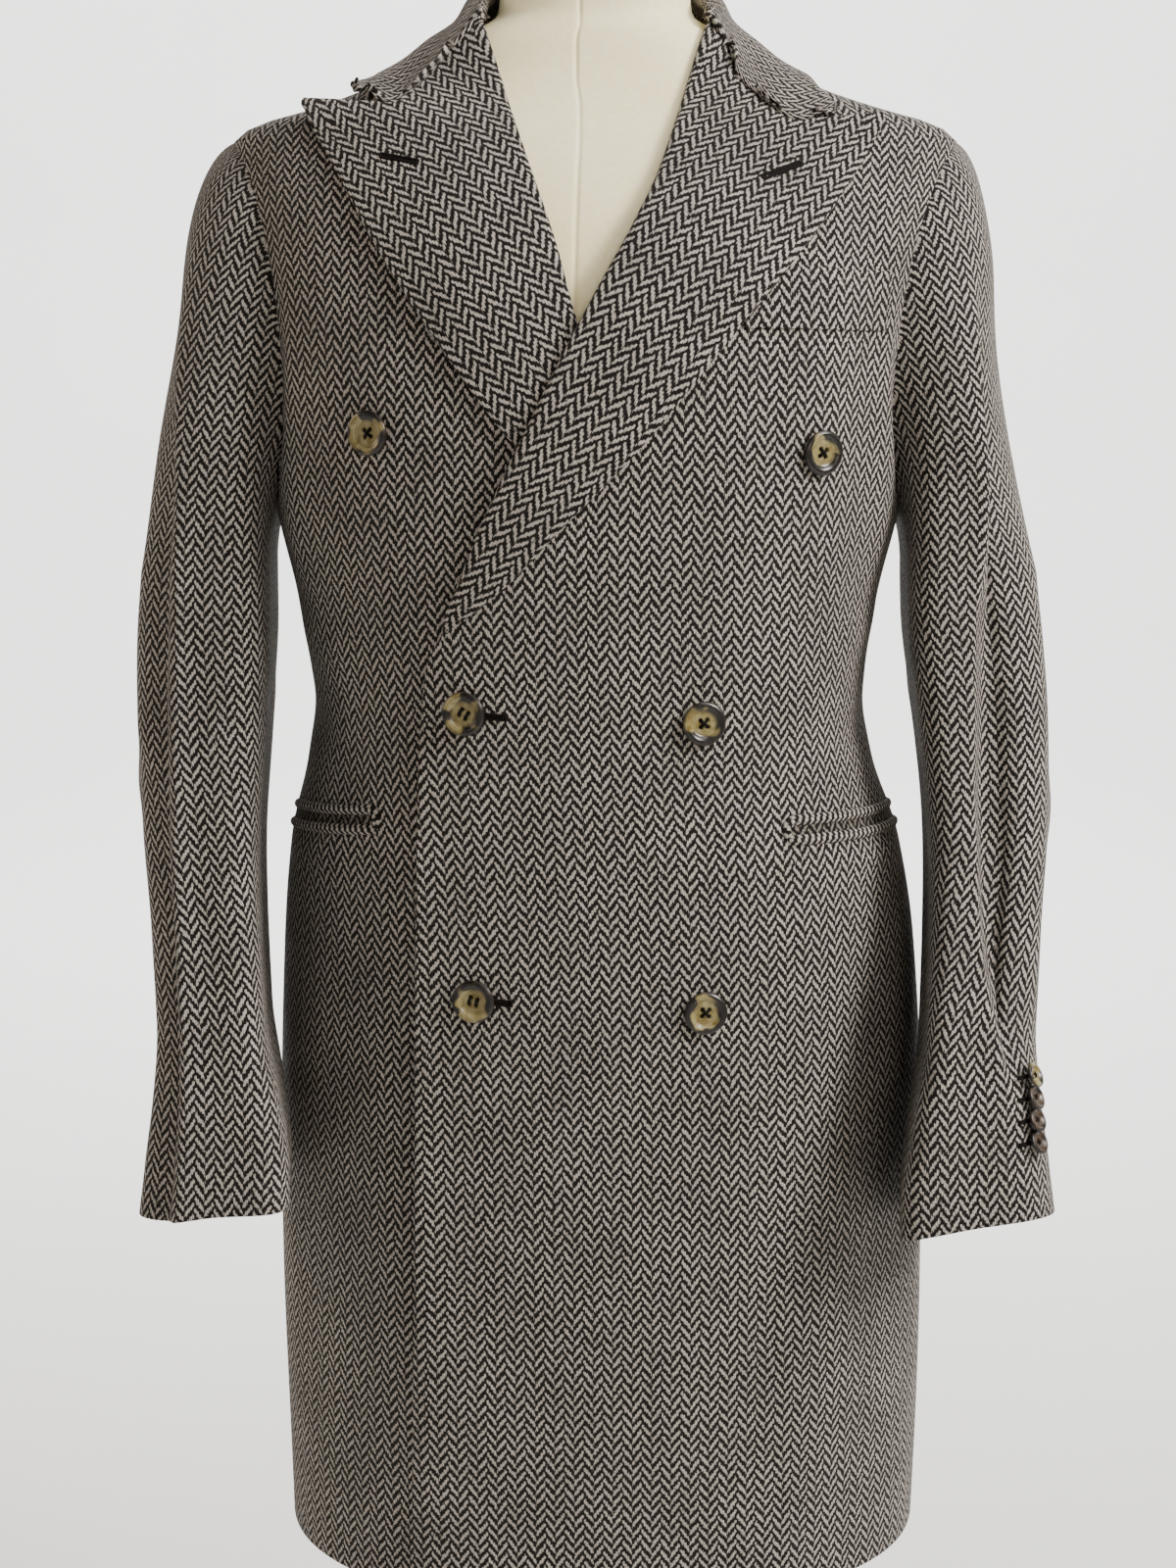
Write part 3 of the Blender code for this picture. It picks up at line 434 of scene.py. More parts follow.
@dataclass
class Armhole:
    """The oval in which a sleeve is set: its height, and its reach round the side."""

    bottom: float = 1.095
    top: float = 1.303
    front: float = math.radians(21.5)
    back: float = math.radians(23.0)
    gap: float = 0.0002
    draw: float = 0.0055
    draw_reach: float = 0.010
    draw_rises: Span = (-0.06, 0.06)
    draw_fades: Span = (0.30, 0.95)
    tuck: float = 1.3

    @property
    def middle(self) -> float:
        """The height of its middle."""
        return (self.bottom + self.top) / 2

    @property
    def half(self) -> float:
        """Half its height."""
        return (self.top - self.bottom) / 2

    def levels(self) -> np.ndarray:
        """Return heights up its edge, closer together at the bottom and the top."""
        turns = np.radians([180, *range(170, 9, -5), 0])
        return self.middle + (self.half + self.gap) * np.cos(turns)

    def drawn_in(self, z: np.ndarray, away: Any) -> np.ndarray:
        """Return how deep its lower seam draws the cloth in, at heights and at distances from it."""
        share = (z - self.bottom) / (self.top - self.bottom)
        low = rise_and_fade(share, self.draw_rises, self.draw_fades)
        return self.draw * low * np.exp(-(np.asarray(away) / self.draw_reach) ** 2)

    def reach(self, torso: Torso, z: np.ndarray, most: float) -> np.ndarray:
        """Return how far its edge lies from the side line at each height, as a turn."""
        share = np.clip((z - self.middle) / (self.half + self.gap), -1.0, 1.0)
        round_it = most * np.sqrt(1 - share * share)
        inside = np.abs(share) < 0.99999
        return np.where(inside, round_it + self.gap / torso.sections.read("half_width", self.middle), 0.0)

    def point(self, torso: Torso, side: Side, turn: np.ndarray) -> np.ndarray:
        """Return the sleeve's points on it: 0 top, 90 degrees front, 180 bottom, 270 back."""
        most = np.where(np.sin(turn) > 0, self.front, self.back)
        z = self.middle + self.half * np.cos(turn)
        seat = CLOTH - self.tuck * self.drawn_in(z, 0.0)
        return torso.point(side.value * (SIDE_TURN - most * np.sin(turn)), z, seat)


def linear(colour: str) -> tuple[float, float, float, float]:
    """Turn an sRGB hex colour into linear values."""
    channels = [int(colour[k:k + 2], 16) / 255 for k in (1, 3, 5)]
    bright = [c / 12.92 if c <= 0.04045 else ((c + 0.055) / 1.055) ** 2.4 for c in channels]
    return (*bright, 1.0)


def set_inputs(tree: bpy.types.NodeTree, node: bpy.types.Node, inputs: dict) -> None:
    """Set or link a node's inputs, by socket name or number; a node stands for its first output."""
    for key, value in inputs.items():
        if isinstance(value, bpy.types.Node):
            value = value.outputs[0]
        if isinstance(value, bpy.types.NodeSocket):
            tree.links.new(value, node.inputs[key])
        else:
            node.inputs[key].default_value = value


def add_node(tree: bpy.types.NodeTree, kind: str, inputs: Optional[dict] = None, **settings: Any) -> Any:
    """Add a shader node, with its settings and its inputs.

    Args:
        tree: The node tree.
        kind: The node's type name, after the words ShaderNode.
        inputs: Values by socket name or number.
        settings: Properties of the node.

    Returns:
        The new node.
    """
    node = tree.nodes.new("ShaderNode" + kind)
    for name, value in settings.items():
        setattr(node, name, value)
    set_inputs(tree, node, inputs or {})
    return node


class Shading:
    """A material in the making, with short calls for the nodes that the finishes share."""

    def __init__(self, name: str) -> None:
        """Start a material by its name."""
        self.material = bpy.data.materials.new(name)
        self.material.use_nodes = True
        self.tree = self.material.node_tree

    def add(self, kind: str, inputs: Optional[dict] = None, **settings: Any) -> Any:
        """Add a node."""
        return add_node(self.tree, kind, inputs, **settings)

    def own_place(self) -> Any:
        """Return the place in the piece's own space."""
        return self.add("TexCoord").outputs["Object"]

    def maths(self, operation: str, *values: Any) -> Any:
        """Add a sum on one to three values."""
        return self.add("Math", dict(enumerate(values)), operation=operation)

    def span(self, value: Any, low: float = 0.0, high: float = 1.0, start: float = 0.0,
             end: float = 1.0, kind: str = "LINEAR") -> Any:
        """Turn the range from low to high into the range from start to end."""
        ends = dict(enumerate((value, low, high, start, end)))
        return self.add("MapRange", ends, interpolation_type=kind)

    def noise(self, where: Any, size: float, detail: float, distortion: float = 0.0) -> Any:
        """Add cloudy noise whose clouds have about a given size."""
        return self.add("TexNoise", {
            "Vector": where, "Scale": 1 / size, "Detail": detail, "Distortion": distortion})

    def blend(self, share: Any, first: Any, last: Any) -> Any:
        """Blend two colours, each a hex colour or a socket."""
        first, last = (linear(c) if isinstance(c, str) else c for c in (first, last))
        return self.add("Mix", {0: share, 6: first, 7: last}, data_type="RGBA").outputs[2]

    def scale(self, colour: Any, by: Any) -> Any:
        """Make a colour darker or lighter."""
        return self.add("VectorMath", {0: colour, 3: by}, operation="SCALE").outputs[0]

    def bump(self, strength: float, distance: float, height: Any) -> Any:
        """Add the relief of a height."""
        return self.add("Bump", {"Strength": strength, "Distance": distance, "Height": height})

    def finish(self, inputs: dict) -> Material:
        """Set the surface's inputs and return the material."""
        set_inputs(self.tree, self.tree.nodes["Principled BSDF"], inputs)
        return self.material


@dataclass(frozen=True)
class HerringboneCoating:
    """Woollen coating of carded yarn, woven as broken herringbone and lightly milled."""

    name: str = "herringbone_wool_coating"
    light_yarn: str = "#b5aea6"
    dark_yarn: str = "#130e0c"
    sheen: str = "#d8cdbf"
    column: float = 0.0055
    pitch: float = 0.0066
    rise: float = 1.31
    thread: float = 0.00127
    light_share: float = 0.41
    softness: float = 0.075
    stepped: float = 0.7
    float_end: float = 0.0007
    yarn_wander: float = 0.0016
    wander_size: float = 0.035
    slub_size: float = 0.0019
    slub: float = 0.17
    fibre_size: float = 0.0008
    cloud_size: float = 0.04
    relief: float = 0.0006

    def material(self) -> Material:
        """Make the material: slanting light floats on a dark ground, turned at each column."""
        shading = Shading(self.name)
        maths, span, noise = shading.maths, shading.span, shading.noise
        cloth = shading.add("UVMap", uv_map="cloth")
        place = shading.add("SeparateXYZ", {0: cloth})
        across = place.outputs["X"]
        # The weave wanders a little over a hand's breadth, as woollen cloth does
        drift = noise(cloth, self.wander_size, 1.0)
        up = maths("ADD", place.outputs["Y"], span(drift, start=-self.yarn_wander, end=self.yarn_wander))
        # Each column leans the other way and starts half a repeat on, which breaks the herringbone
        slant = maths("PINGPONG", across, self.column)
        middle = maths("ADD", maths("SNAP", slant, self.thread), self.thread / 2)
        step = shading.add("Mix", {0: self.stepped, 2: slant, 3: middle})
        other = maths("FLOORED_MODULO", maths("FLOOR", maths("DIVIDE", across, self.column)), 2.0)
        climb = maths("MULTIPLY_ADD", step, self.rise, up)
        phase = maths("MULTIPLY_ADD", other, 0.5, maths("DIVIDE", climb, self.pitch))
        wave = maths("PINGPONG", phase, 0.5)
        # Carded yarn is thick and thin by turns
        swell = span(noise(cloth, self.slub_size, 3.0), 0.25, 0.75, -self.slub, self.slub)
        # Each float stops a little short of the next column
        to_next = maths("PINGPONG", slant, self.column / 2)
        stop = span(to_next, 0.0, self.float_end, -0.13, 0.0)
        ragged = maths("ADD", maths("ADD", wave, swell), stop)
        edge = 0.5 * (1 - self.light_share)
        light = span(ragged, edge - self.softness, edge + self.softness, kind="SMOOTHSTEP")
        # Single threads stand side by side as round beads; each is painted darker towards its sides, as
        # shade on its round, and the same crown raises the bump
        bead = maths("PINGPONG", across, self.thread / 2)
        crown = span(bead, 0.0, self.thread / 2 * 0.8, 0.58, 1.0)
        fibre = noise(cloth, self.fibre_size, 2.0)
        fuzz = span(fibre, 0.25, 0.75, 0.55, 1.35)
        tone = span(noise(cloth, self.cloud_size, 4.0), 0.3, 0.7, 0.82, 1.14)
        # Painted shade of the round threads, times the random tone of the fibres and the cloth
        shade = maths("MULTIPLY", maths("MULTIPLY", crown, fuzz), tone)
        yarns = shading.blend(light, self.dark_yarn, self.light_yarn)
        height = maths("MULTIPLY_ADD", fibre, 0.5, maths("MULTIPLY_ADD", light, 0.7, crown))
        return shading.finish({
            "Base Color": shading.scale(yarns, shade), "Normal": shading.bump(0.6, self.relief, height),
            "Roughness": 0.92, "Specular IOR Level": 0.25, "Sheen Weight": 0.03,
            "Sheen Roughness": 0.5, "Sheen Tint": linear(self.sheen)})


@dataclass(frozen=True)
class PolishedHorn:
    """Turned and polished buffalo horn: honey and olive, clouded dark towards the rim."""

    name: str = "polished_horn"
    honey: str = "#665523"
    pale: str = "#928a60"
    dark: str = "#0f0906"
    edge: str = "#1d140c"
    radius: float = BUTTON_RADIUS
    ring: float = 0.0013

    def material(self) -> Material:
        """Make the material: a clear gloss over cloudy bands and the rings that turning leaves."""
        shading, radius = Shading(self.name), self.radius
        maths, span, blend = shading.maths, shading.span, shading.blend
        face = shading.add("UVMap", uv_map="face")
        far = shading.add("VectorMath", {0: face}, operation="LENGTH").outputs["Value"]
        where = shading.own_place()
        cloud = shading.noise(where, radius / 0.95, 1.0, 0.3)
        streak = shading.noise(where, radius / 2.2, 2.0, 0.8)
        body = blend(span(streak, 0.3, 0.7), self.honey, self.pale)
        wave = maths("SINE", maths("MULTIPLY_ADD", far, math.tau / self.ring, streak))
        ringed = shading.scale(body, span(wave, -1.0, 1.0, 0.74, 1.16))
        rim = span(far, 0.45 * radius, 0.95 * radius)
        smoke = span(cloud, 0.38, 0.58, 0.0, 0.62)
        patch = span(maths("MULTIPLY_ADD", rim, 0.60, smoke), 0.58, 0.88, kind="SMOOTHSTEP")
        clouded = blend(patch, ringed, self.dark)
        outer = span(far, 0.92 * radius, 0.99 * radius, 0.0, 0.8)
        return shading.finish({
            "Base Color": blend(outer, clouded, self.edge), "Normal": shading.bump(0.25, 0.0002, wave),
            "Roughness": span(streak, start=0.24, end=0.38), "IOR": 1.55, "Specular IOR Level": 0.35,
            "Coat Weight": 0.2, "Coat Roughness": 0.1})


@dataclass(frozen=True)
class CottonCanvas:
    """Plain-woven cotton canvas drawn tight over the form: matt cream with a fine even grain."""

    name: str = "cotton_canvas"
    cream: str = "#fff7d2"
    shade: str = "#f9ebb8"
    thread: float = 0.0011

    def material(self) -> Material:
        """Make the material; its weave is drawn a little coarse so that it shows."""
        shading = Shading(self.name)
        maths, where = shading.maths, shading.own_place()
        place = shading.add("SeparateXYZ", {0: where})
        turns = [maths("MULTIPLY", place.outputs[axis], math.tau / self.thread) for axis in "XZ"]
        bends = [maths("SINE", turn) for turn in turns]
        slub, cloud = shading.noise(where, 0.004, 3.0), shading.noise(where, 0.06, 2.0)
        mixed = maths("MULTIPLY_ADD", maths("MULTIPLY", *bends), 0.18, slub)
        share = shading.span(maths("ADD", mixed, cloud), 0.7, 1.3)
        return shading.finish({
            "Base Color": shading.blend(share, self.shade, self.cream),
            "Normal": shading.bump(0.3, 0.0003, mixed), "Roughness": 0.88, "Specular IOR Level": 0.3})


@dataclass(frozen=True)
class ButtonholeTwist:
    """Twisted silk thread: near black, with a faint sheen along each ply."""

    name: str = "buttonhole_twist"
    dark: str = "#060404"
    lit: str = "#14100d"
    ply_size: float = 0.0008

    def material(self) -> Material:
        """Make the material from the ply's spacing."""
        shading = Shading(self.name)
        ply = shading.noise(shading.own_place(), self.ply_size, 2.0)
        return shading.finish({
            "Base Color": shading.blend(ply, self.dark, self.lit),
            "Normal": shading.bump(0.4, 0.0003, ply), "Roughness": 0.75, "Specular IOR Level": 0.12})


@dataclass(frozen=True)
class SatinSteel:
    """Steel brushed round its axis and lightly lacquered: a soft, streaked reflection."""

    name: str = "satin_steel"
    colour: str = "#b9b8b4"
    dull: str = "#a3a29e"
    grain: float = 0.0006

    def material(self) -> Material:
        """Make the material, its streaks drawn out level along the brushing."""
        shading = Shading(self.name)
        stretch = shading.add("Mapping", {"Vector": shading.own_place(), "Scale": (0.06, 0.06, 1.0)})
        streak = shading.noise(stretch, self.grain, 3.0)
        return shading.finish({
            "Base Color": shading.blend(streak, self.dull, self.colour),
            "Roughness": shading.span(streak, start=0.26, end=0.44), "Metallic": 1.0})


@dataclass(frozen=True)
class StudioPaint:
    """Matt emulsion on a curved studio wall and floor: pale, even, hardly any gloss."""

    name: str = "studio_paint"
    pale: str = "#f1f1f0"
    shade: str = "#ebebe9"
    mottle_size: float = 0.5

    def material(self) -> Material:
        """Make the material with the faint mottling of a rolled coat."""
        shading = Shading(self.name)
        mottle = shading.noise(shading.own_place(), self.mottle_size, 2.0)
        return shading.finish({
            "Base Color": shading.blend(mottle, self.shade, self.pale),
            "Roughness": 0.9, "Specular IOR Level": 0.1})


@dataclass
class Finishes:
    """The materials that the pieces are dressed in."""

    coating: Material
    facing: Material
    horn: Material
    cuff_horn: Material
    cuff_dark: Material
    canvas: Material
    twist: Material
    steel: Material
    paint: Material


def make_finishes() -> Finishes:
    """Make every material once."""
    # The pocket facing is the coating with darker yarns: painted shade for the inside of the pocket mouth
    pocket = HerringboneCoating(name="pocket_facing_painted_shade", light_yarn="#827b72", dark_yarn="#0f0c0a")
    small = PolishedHorn(name="polished_horn_small", radius=CUFF_BUTTON_RADIUS)
    # The three lower sleeve buttons get darker horn colours than the top one
    darker_cuff = replace(small, name="darker_horn_small", honey="#2c1e0e", pale="#4a3b2a")
    return Finishes(
        coating=HerringboneCoating().material(),
        facing=pocket.material(),
        horn=PolishedHorn().material(),
        cuff_horn=small.material(),
        cuff_dark=darker_cuff.material(),
        canvas=CottonCanvas().material(),
        twist=ButtonholeTwist().material(),
        steel=SatinSteel().material(),
        paint=StudioPaint().material(),
    )


def new_piece(name: str, bm: BMesh, material: Material, crisp: Optional[float] = None) -> Piece:
    """Make a smooth-shaded object from a bmesh, which is freed.

    Args:
        name: The object's name.
        bm: The bmesh.
        material: Its material.
        crisp: The angle, in degrees, over which its edges stay crisp.

    Returns:
        The object.
    """
    mesh = bpy.data.meshes.new(name)
    bm.to_mesh(mesh)
    bm.free()
    mesh.shade_smooth()
    if crisp is not None:
        mesh.set_sharp_from_angle(angle=math.radians(crisp))
    mesh.materials.append(material)
    made = bpy.data.objects.new(name, mesh)
    bpy.context.scene.collection.objects.link(made)
    return made


def dress(piece: Piece, slot: str, *nodes: str) -> None:
    """Fix a piece to the body, hide the nodes it stands for, and log it with its slot."""
    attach(piece, "root")
    if nodes:
        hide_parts(*nodes)
    LOG.info("%s: %d faces, slot %s", piece.name, len(piece.data.polygons), slot)


def weld(bm: BMesh, distance: float) -> None:
    """Join points that lie within a distance of each other, and face every face outward."""
    bmesh.ops.remove_doubles(bm, verts=bm.verts, dist=distance)
    bmesh.ops.recalc_face_normals(bm, faces=bm.faces)


def lay_flat(bm: BMesh, name: str, place: Callable[[bmesh.types.BMVert], Sequence[float]]) -> None:
    """Give a bmesh a flat layout, from the place of each of its points."""
    layer = bm.loops.layers.uv.new(name)
    for face in bm.faces:
        for loop in face.loops:
            loop[layer].uv = place(loop.vert)


def spin_outline(outline: Sequence[Place], steps: int, distance: float = TURNED_WELD) -> BMesh:
    """Spin an outline of (radius, height) once round the upright axis."""
    bm = bmesh.new()
    points = [bm.verts.new((r, 0.0, h)) for r, h in outline]
    edges = [bm.edges.new(pair) for pair in zip(points, points[1:])]
    bmesh.ops.spin(bm, geom=points + edges, cent=(0, 0, 0), axis=(0, 0, 1), angle=math.tau,
                   steps=steps, use_merge=True)
    weld(bm, distance)
    return bm


def add_grid(bm: BMesh, points: np.ndarray) -> None:
    """Add a grid of faces through rows and columns of points."""
    rows, columns = points.shape[:2]
    made = bmesh.ops.create_grid(bm, x_segments=columns - 1, y_segments=rows - 1, size=1.0)
    for vertex, place in zip(made["verts"], points.reshape(-1, 3)):
        vertex.co = place


def add_tube(bm: BMesh, path: np.ndarray, normal: np.ndarray, radius: Any,
             flatness: float = 1.0, sides: int = 8, closed: bool = False) -> None:
    """Add a round or flattened tube along a path, with closed ends unless the path is a loop.

    Args:
        bm: The bmesh that takes it.
        path: Points along the middle.
        normal: The direction that counts as up for the cross-section.
        radius: One radius, or one for each point.
        flatness: The cross-section's height over its width.
        sides: Faces round it.
        closed: Whether the last point runs on into the first.
    """
    radii = np.broadcast_to(np.asarray(radius, dtype=float), (len(path),))
    if closed:
        path = np.concatenate([path, path[:1]])
        radii = np.concatenate([radii, radii[:1]])
        along = unit(np.roll(path[:-1], -1, axis=0) - np.roll(path[:-1], 1, axis=0))
        along = np.concatenate([along, along[:1]])
    else:
        along = unit(np.gradient(path, axis=0))
        path = np.concatenate([path[:1], path, path[-1:]])
        along = np.concatenate([along[:1], along, along[-1:]])
        radii = np.concatenate([[0.0], radii, [0.0]])
    side = unit(np.cross(along, normal))
    up = np.cross(side, along)
    turns = np.linspace(0, math.tau, sides + 1)[None, :, None]
    ring = np.cos(turns) * side[:, None] + flatness * np.sin(turns) * up[:, None]
    add_grid(bm, path[:, None] + radii[:, None, None] * ring)


def finish_tubes(name: str, bm: BMesh, material: Material) -> None:
    """Close the seams of the tubes in a bmesh and dress them as one piece of dark thread."""
    weld(bm, THREAD_WELD)
    dress(new_piece(name, bm, material), "pocket_dark")


@dataclass
class ClothPiece:
    """A piece of coating as a thin shell: its outer face, its places on the flat cloth, its finish."""

    name: str
    points: np.ndarray
    grain: np.ndarray
    outward: Spot
    material: Material
    thickness: float = CLOTH
    curved_cut: bool = False
    rim_steps: int = 7

    def normals(self) -> np.ndarray:
        """Return the outer face's normals."""
        normals = grid_normals(self.points)
        middle = normals[normals.shape[0] // 2, normals.shape[1] // 2]
        return normals if float(np.dot(middle, self.outward)) > 0 else -normals

    def rim(self, normals: np.ndarray) -> tuple[np.ndarray, np.ndarray]:
        """Return the half-round rim that joins the two faces, and its places on the flat cloth."""
        rows, columns = self.points.shape[:2]
        down, along = np.arange(rows), np.arange(columns)
        row = np.concatenate([0 * along, down[1:], 0 * along[1:] + rows - 1, down[-2::-1]])
        column = np.concatenate([along, 0 * down[1:] + columns - 1, along[-2::-1], 0 * down[1:]])
        end_row = np.where(row == 0, -1, np.where(row == rows - 1, 1, 0))[:, None]
        end_column = np.where(column == 0, -1, np.where(column == columns - 1, 1, 0))[:, None]
        swing = np.linspace(0, math.pi, self.rim_steps)[:, None, None]
        half = self.thickness / 2
        faces = []
        for values in (self.points, self.grain):
            away = end_row * unit(np.gradient(values, axis=0)[row, column])
            faces.append(away + end_column * unit(np.gradient(values, axis=1)[row, column]))
        normal = normals[row, column]
        away = unit(faces[0] - normal * (faces[0] * normal).sum(axis=1, keepdims=True))
        middle = self.points[row, column] - normal * half
        points = middle + half * (np.cos(swing) * normal + np.sin(swing) * away)
        return points, self.grain[row, column] + unit(faces[1]) * half * swing

    def build(self) -> Piece:
        """Make the closed shell of an outer face, an inner face and the rim between them."""
        normals = self.normals()
        rim, rim_grain = self.rim(normals)
        bm = bmesh.new()
        for face in (self.points, self.points - normals * self.thickness, rim):
            add_grid(bm, face)
        bm.verts.index_update()
        places = np.concatenate([g.reshape(-1, 2) for g in (self.grain, self.grain, rim_grain)])
        lay_flat(bm, "cloth", lambda vertex: places[vertex.index])
        weld(bm, CLOTH_WELD)
        return new_piece(self.name, bm, self.material)

    def inset_line(self, inset: float) -> tuple[np.ndarray, np.ndarray]:
        """Return the points, and their normals, that lie a distance in from the last column."""
        back = lengths_along(self.points[:, ::-1], 1)
        both = np.concatenate([self.points, self.normals()], axis=-1)[:, ::-1]
        line = np.array([
            [np.interp(inset, run, values[:, k]) for k in range(6)] for run, values in zip(back, both)])
        return line[:, :3], unit(line[:, 3:])

    def below(self, z: float) -> "ClothPiece":
        """Return the rows of the piece that lie below a height."""
        rows = self.points[:, :, 2].max(axis=1) < z
        return replace(self, points=self.points[rows], grain=self.grain[rows])

    def sew_on(self, slot: str = "coating") -> Piece:
        """Build the piece and dress it for the node that it is named after."""
        made = self.build()
        dress(made, slot, self.name.removesuffix("_cloth"))
        return made

    def hang(self, rests_on: Sequence[str], with_pieces: Sequence = ()) -> None:
        """Sew the piece on."""
        made = self.sew_on()


@dataclass
class CoatPart:
    """A group of pieces that lie on the torso."""

    torso: Torso
    finishes: Finishes

    def cloth(self, node: str, points: np.ndarray, grain: np.ndarray, outward: Spot = FORWARD,
              thickness: float = CLOTH) -> ClothPiece:
        """Return a piece of coating that stands for a node."""
        return ClothPiece(node + "_cloth", points, grain, outward, self.finishes.coating, thickness)


class TopPoint(NamedTuple):
    """A point of a lapel's top, seen from the front."""

    x: float
    z: float


LAPEL_ROWS = {
    Side.LEFT: Table(
        "step roll_x roll_z edge_x edge_z",
        (0, -0.0790, 1.0375, -0.0735, 1.0415),
        (1, -0.0690, 1.0600, -0.0520, 1.0600),
        (2, -0.0560, 1.0940, -0.0250, 1.0890),
        (3, -0.0325, 1.1460, 0.0220, 1.1380),
        (4, -0.0090, 1.1940, 0.0717, 1.1980),
        (5, 0.0220, 1.2495, 0.1004, 1.2320),
        (6, 0.0346, 1.2750, 0.1300, 1.2687),
        (7, 0.0480, 1.3120, 0.1480, 1.2960),
    ),
    Side.RIGHT: Table(
        "step roll_x roll_z edge_x edge_z",
        (0, 0.0770, 1.0375, 0.0715, 1.0415),
        (1, 0.0655, 1.0600, 0.0470, 1.0600),
        (2, 0.0490, 1.0940, 0.0080, 1.0890),
        (3, 0.0210, 1.1460, -0.0450, 1.1430),
        (4, -0.0105, 1.1960, -0.0860, 1.1980),
        (5, -0.0240, 1.2430, -0.1120, 1.2370),
        (6, -0.0380, 1.2830, -0.1350, 1.2770),
        (7, -0.0490, 1.3145, -0.1500, 1.3020),
    ),
}
# Roll line, two points of the gorge, the notch, and out to the peak
LAPEL_TOPS = {
    Side.LEFT: (
        TopPoint(0.0645, 1.3690), TopPoint(0.0765, 1.3500), TopPoint(0.0895, 1.3238),
        TopPoint(0.1095, 1.3065), TopPoint(0.1260, 1.3075), TopPoint(0.1412, 1.3085),
        TopPoint(0.1570, 1.3095),
    ),
    Side.RIGHT: (
        TopPoint(-0.0650, 1.3690), TopPoint(-0.0812, 1.3496), TopPoint(-0.0946, 1.3307),
        TopPoint(-0.1089, 1.3145), TopPoint(-0.1261, 1.3145), TopPoint(-0.1426, 1.3143),
        TopPoint(-0.1588, 1.3130),
    ),
}


@dataclass
class BodyPanels(CoatPart):
    """The two fronts and the two halves of the back."""

    armhole: Armhole
    row_step: float = 0.005
    shoulder_rows: int = 14
    front_thickness: float = 0.0030
    front_columns: int = 74
    back_columns: int = 56
    front_edge: tuple[Place, ...] = (
        (0.465, -0.1047), (0.675, -0.0980), (0.790, -0.0964),
        (0.900, -0.0940), (0.977, -0.0910), (1.015, -0.0885),
    )

    def levels(self) -> np.ndarray:
        """Return the heights of a panel's rows."""
        armhole = self.armhole.levels()
        below = np.arange(HEM, armhole[0] - self.row_step / 2, self.row_step)
        above = np.linspace(armhole[-1], NECK, self.shoulder_rows)[1:]
        return np.concatenate([below, armhole, above])

    def seam(self, z: np.ndarray, column: str) -> np.ndarray:
        """Return half the gap of a seam at each height, as a turn."""
        return SEAM / 2 / self.torso.sections.read(column, z)

    def edge_x(self, side: Side, z: np.ndarray) -> np.ndarray:
        """Return the x of a front's free edge, which runs into the roll line above the break."""
        lapel = LAPEL_ROWS[side].columns
        rows = [(height, side.value * x) for height, x in self.front_edge]
        rows += list(zip(lapel["roll_z"], lapel["roll_x"]))
        rows.append((LAPEL_TOPS[side][0].z, LAPEL_TOPS[side][0].x))
        return Table("z x", *rows).read("x", z)

    def spread(self, side: Side, way: int, most: float, end: np.ndarray,
               columns: int) -> tuple[np.ndarray, np.ndarray, np.ndarray]:
        """Lay out a panel from its side seam and armhole to its other edge.

        Args:
            side: The wearer's side.
            way: -1 forward from the side line, 1 backward.
            most: The armhole's reach into the panel.
            end: The turn of the panel's other edge at each height.
            columns: The number of its columns.

        Returns:
            Its turns, its heights and how far out its outer face lies, as rows by columns.
        """
        z = self.levels()
        reach = np.maximum(self.armhole.reach(self.torso, z, most), self.seam(z, "half_width"))
        start = side.value * (SIDE_TURN + way * reach)[:, None]
        turn = lerp(start, end[:, None], np.linspace(0, 1, columns))
        level = np.broadcast_to(z[:, None], turn.shape)
        away = np.abs(turn - start) * self.torso.sections.read("half_width", level)
        return turn, level, CLOTH - self.armhole.drawn_in(level, away)

    def front(self, side: Side) -> ClothPiece:
        """Return one front, from side seam, armhole and shoulder to its free edge."""
        z = self.levels()
        end = self.torso.front_turn(self.edge_x(side, z), z)
        turn, level, out = self.spread(side, -1, self.armhole.front, end, self.front_columns)
        lift = self.torso.overlap_lift(side, self.torso.ring(turn, level)[..., 0], level)
        points = self.torso.point(turn, level, lift + out)
        grain = self.torso.grain(turn, level, FRONT_CLIMB)
        return self.cloth(f"front_{side.word}", points, grain, thickness=self.front_thickness)

    def back(self, side: Side) -> ClothPiece:
        """Return one half of the back, from side seam, armhole and shoulder to the middle."""
        end = side.value * (math.pi - self.seam(self.levels(), "back"))
        turn, level, out = self.spread(side, 1, self.armhole.back, end, self.back_columns)
        points = self.torso.point(turn, level, out)
        grain = self.torso.grain(turn, level, BACK_CLIMB)
        middle = self.torso.grain(np.full(turn.shape, side.value * math.pi), level, BACK_CLIMB)
        grain[..., 0] -= middle[..., 0]
        return self.cloth(f"back_{side.word}", points, grain, BACKWARD)


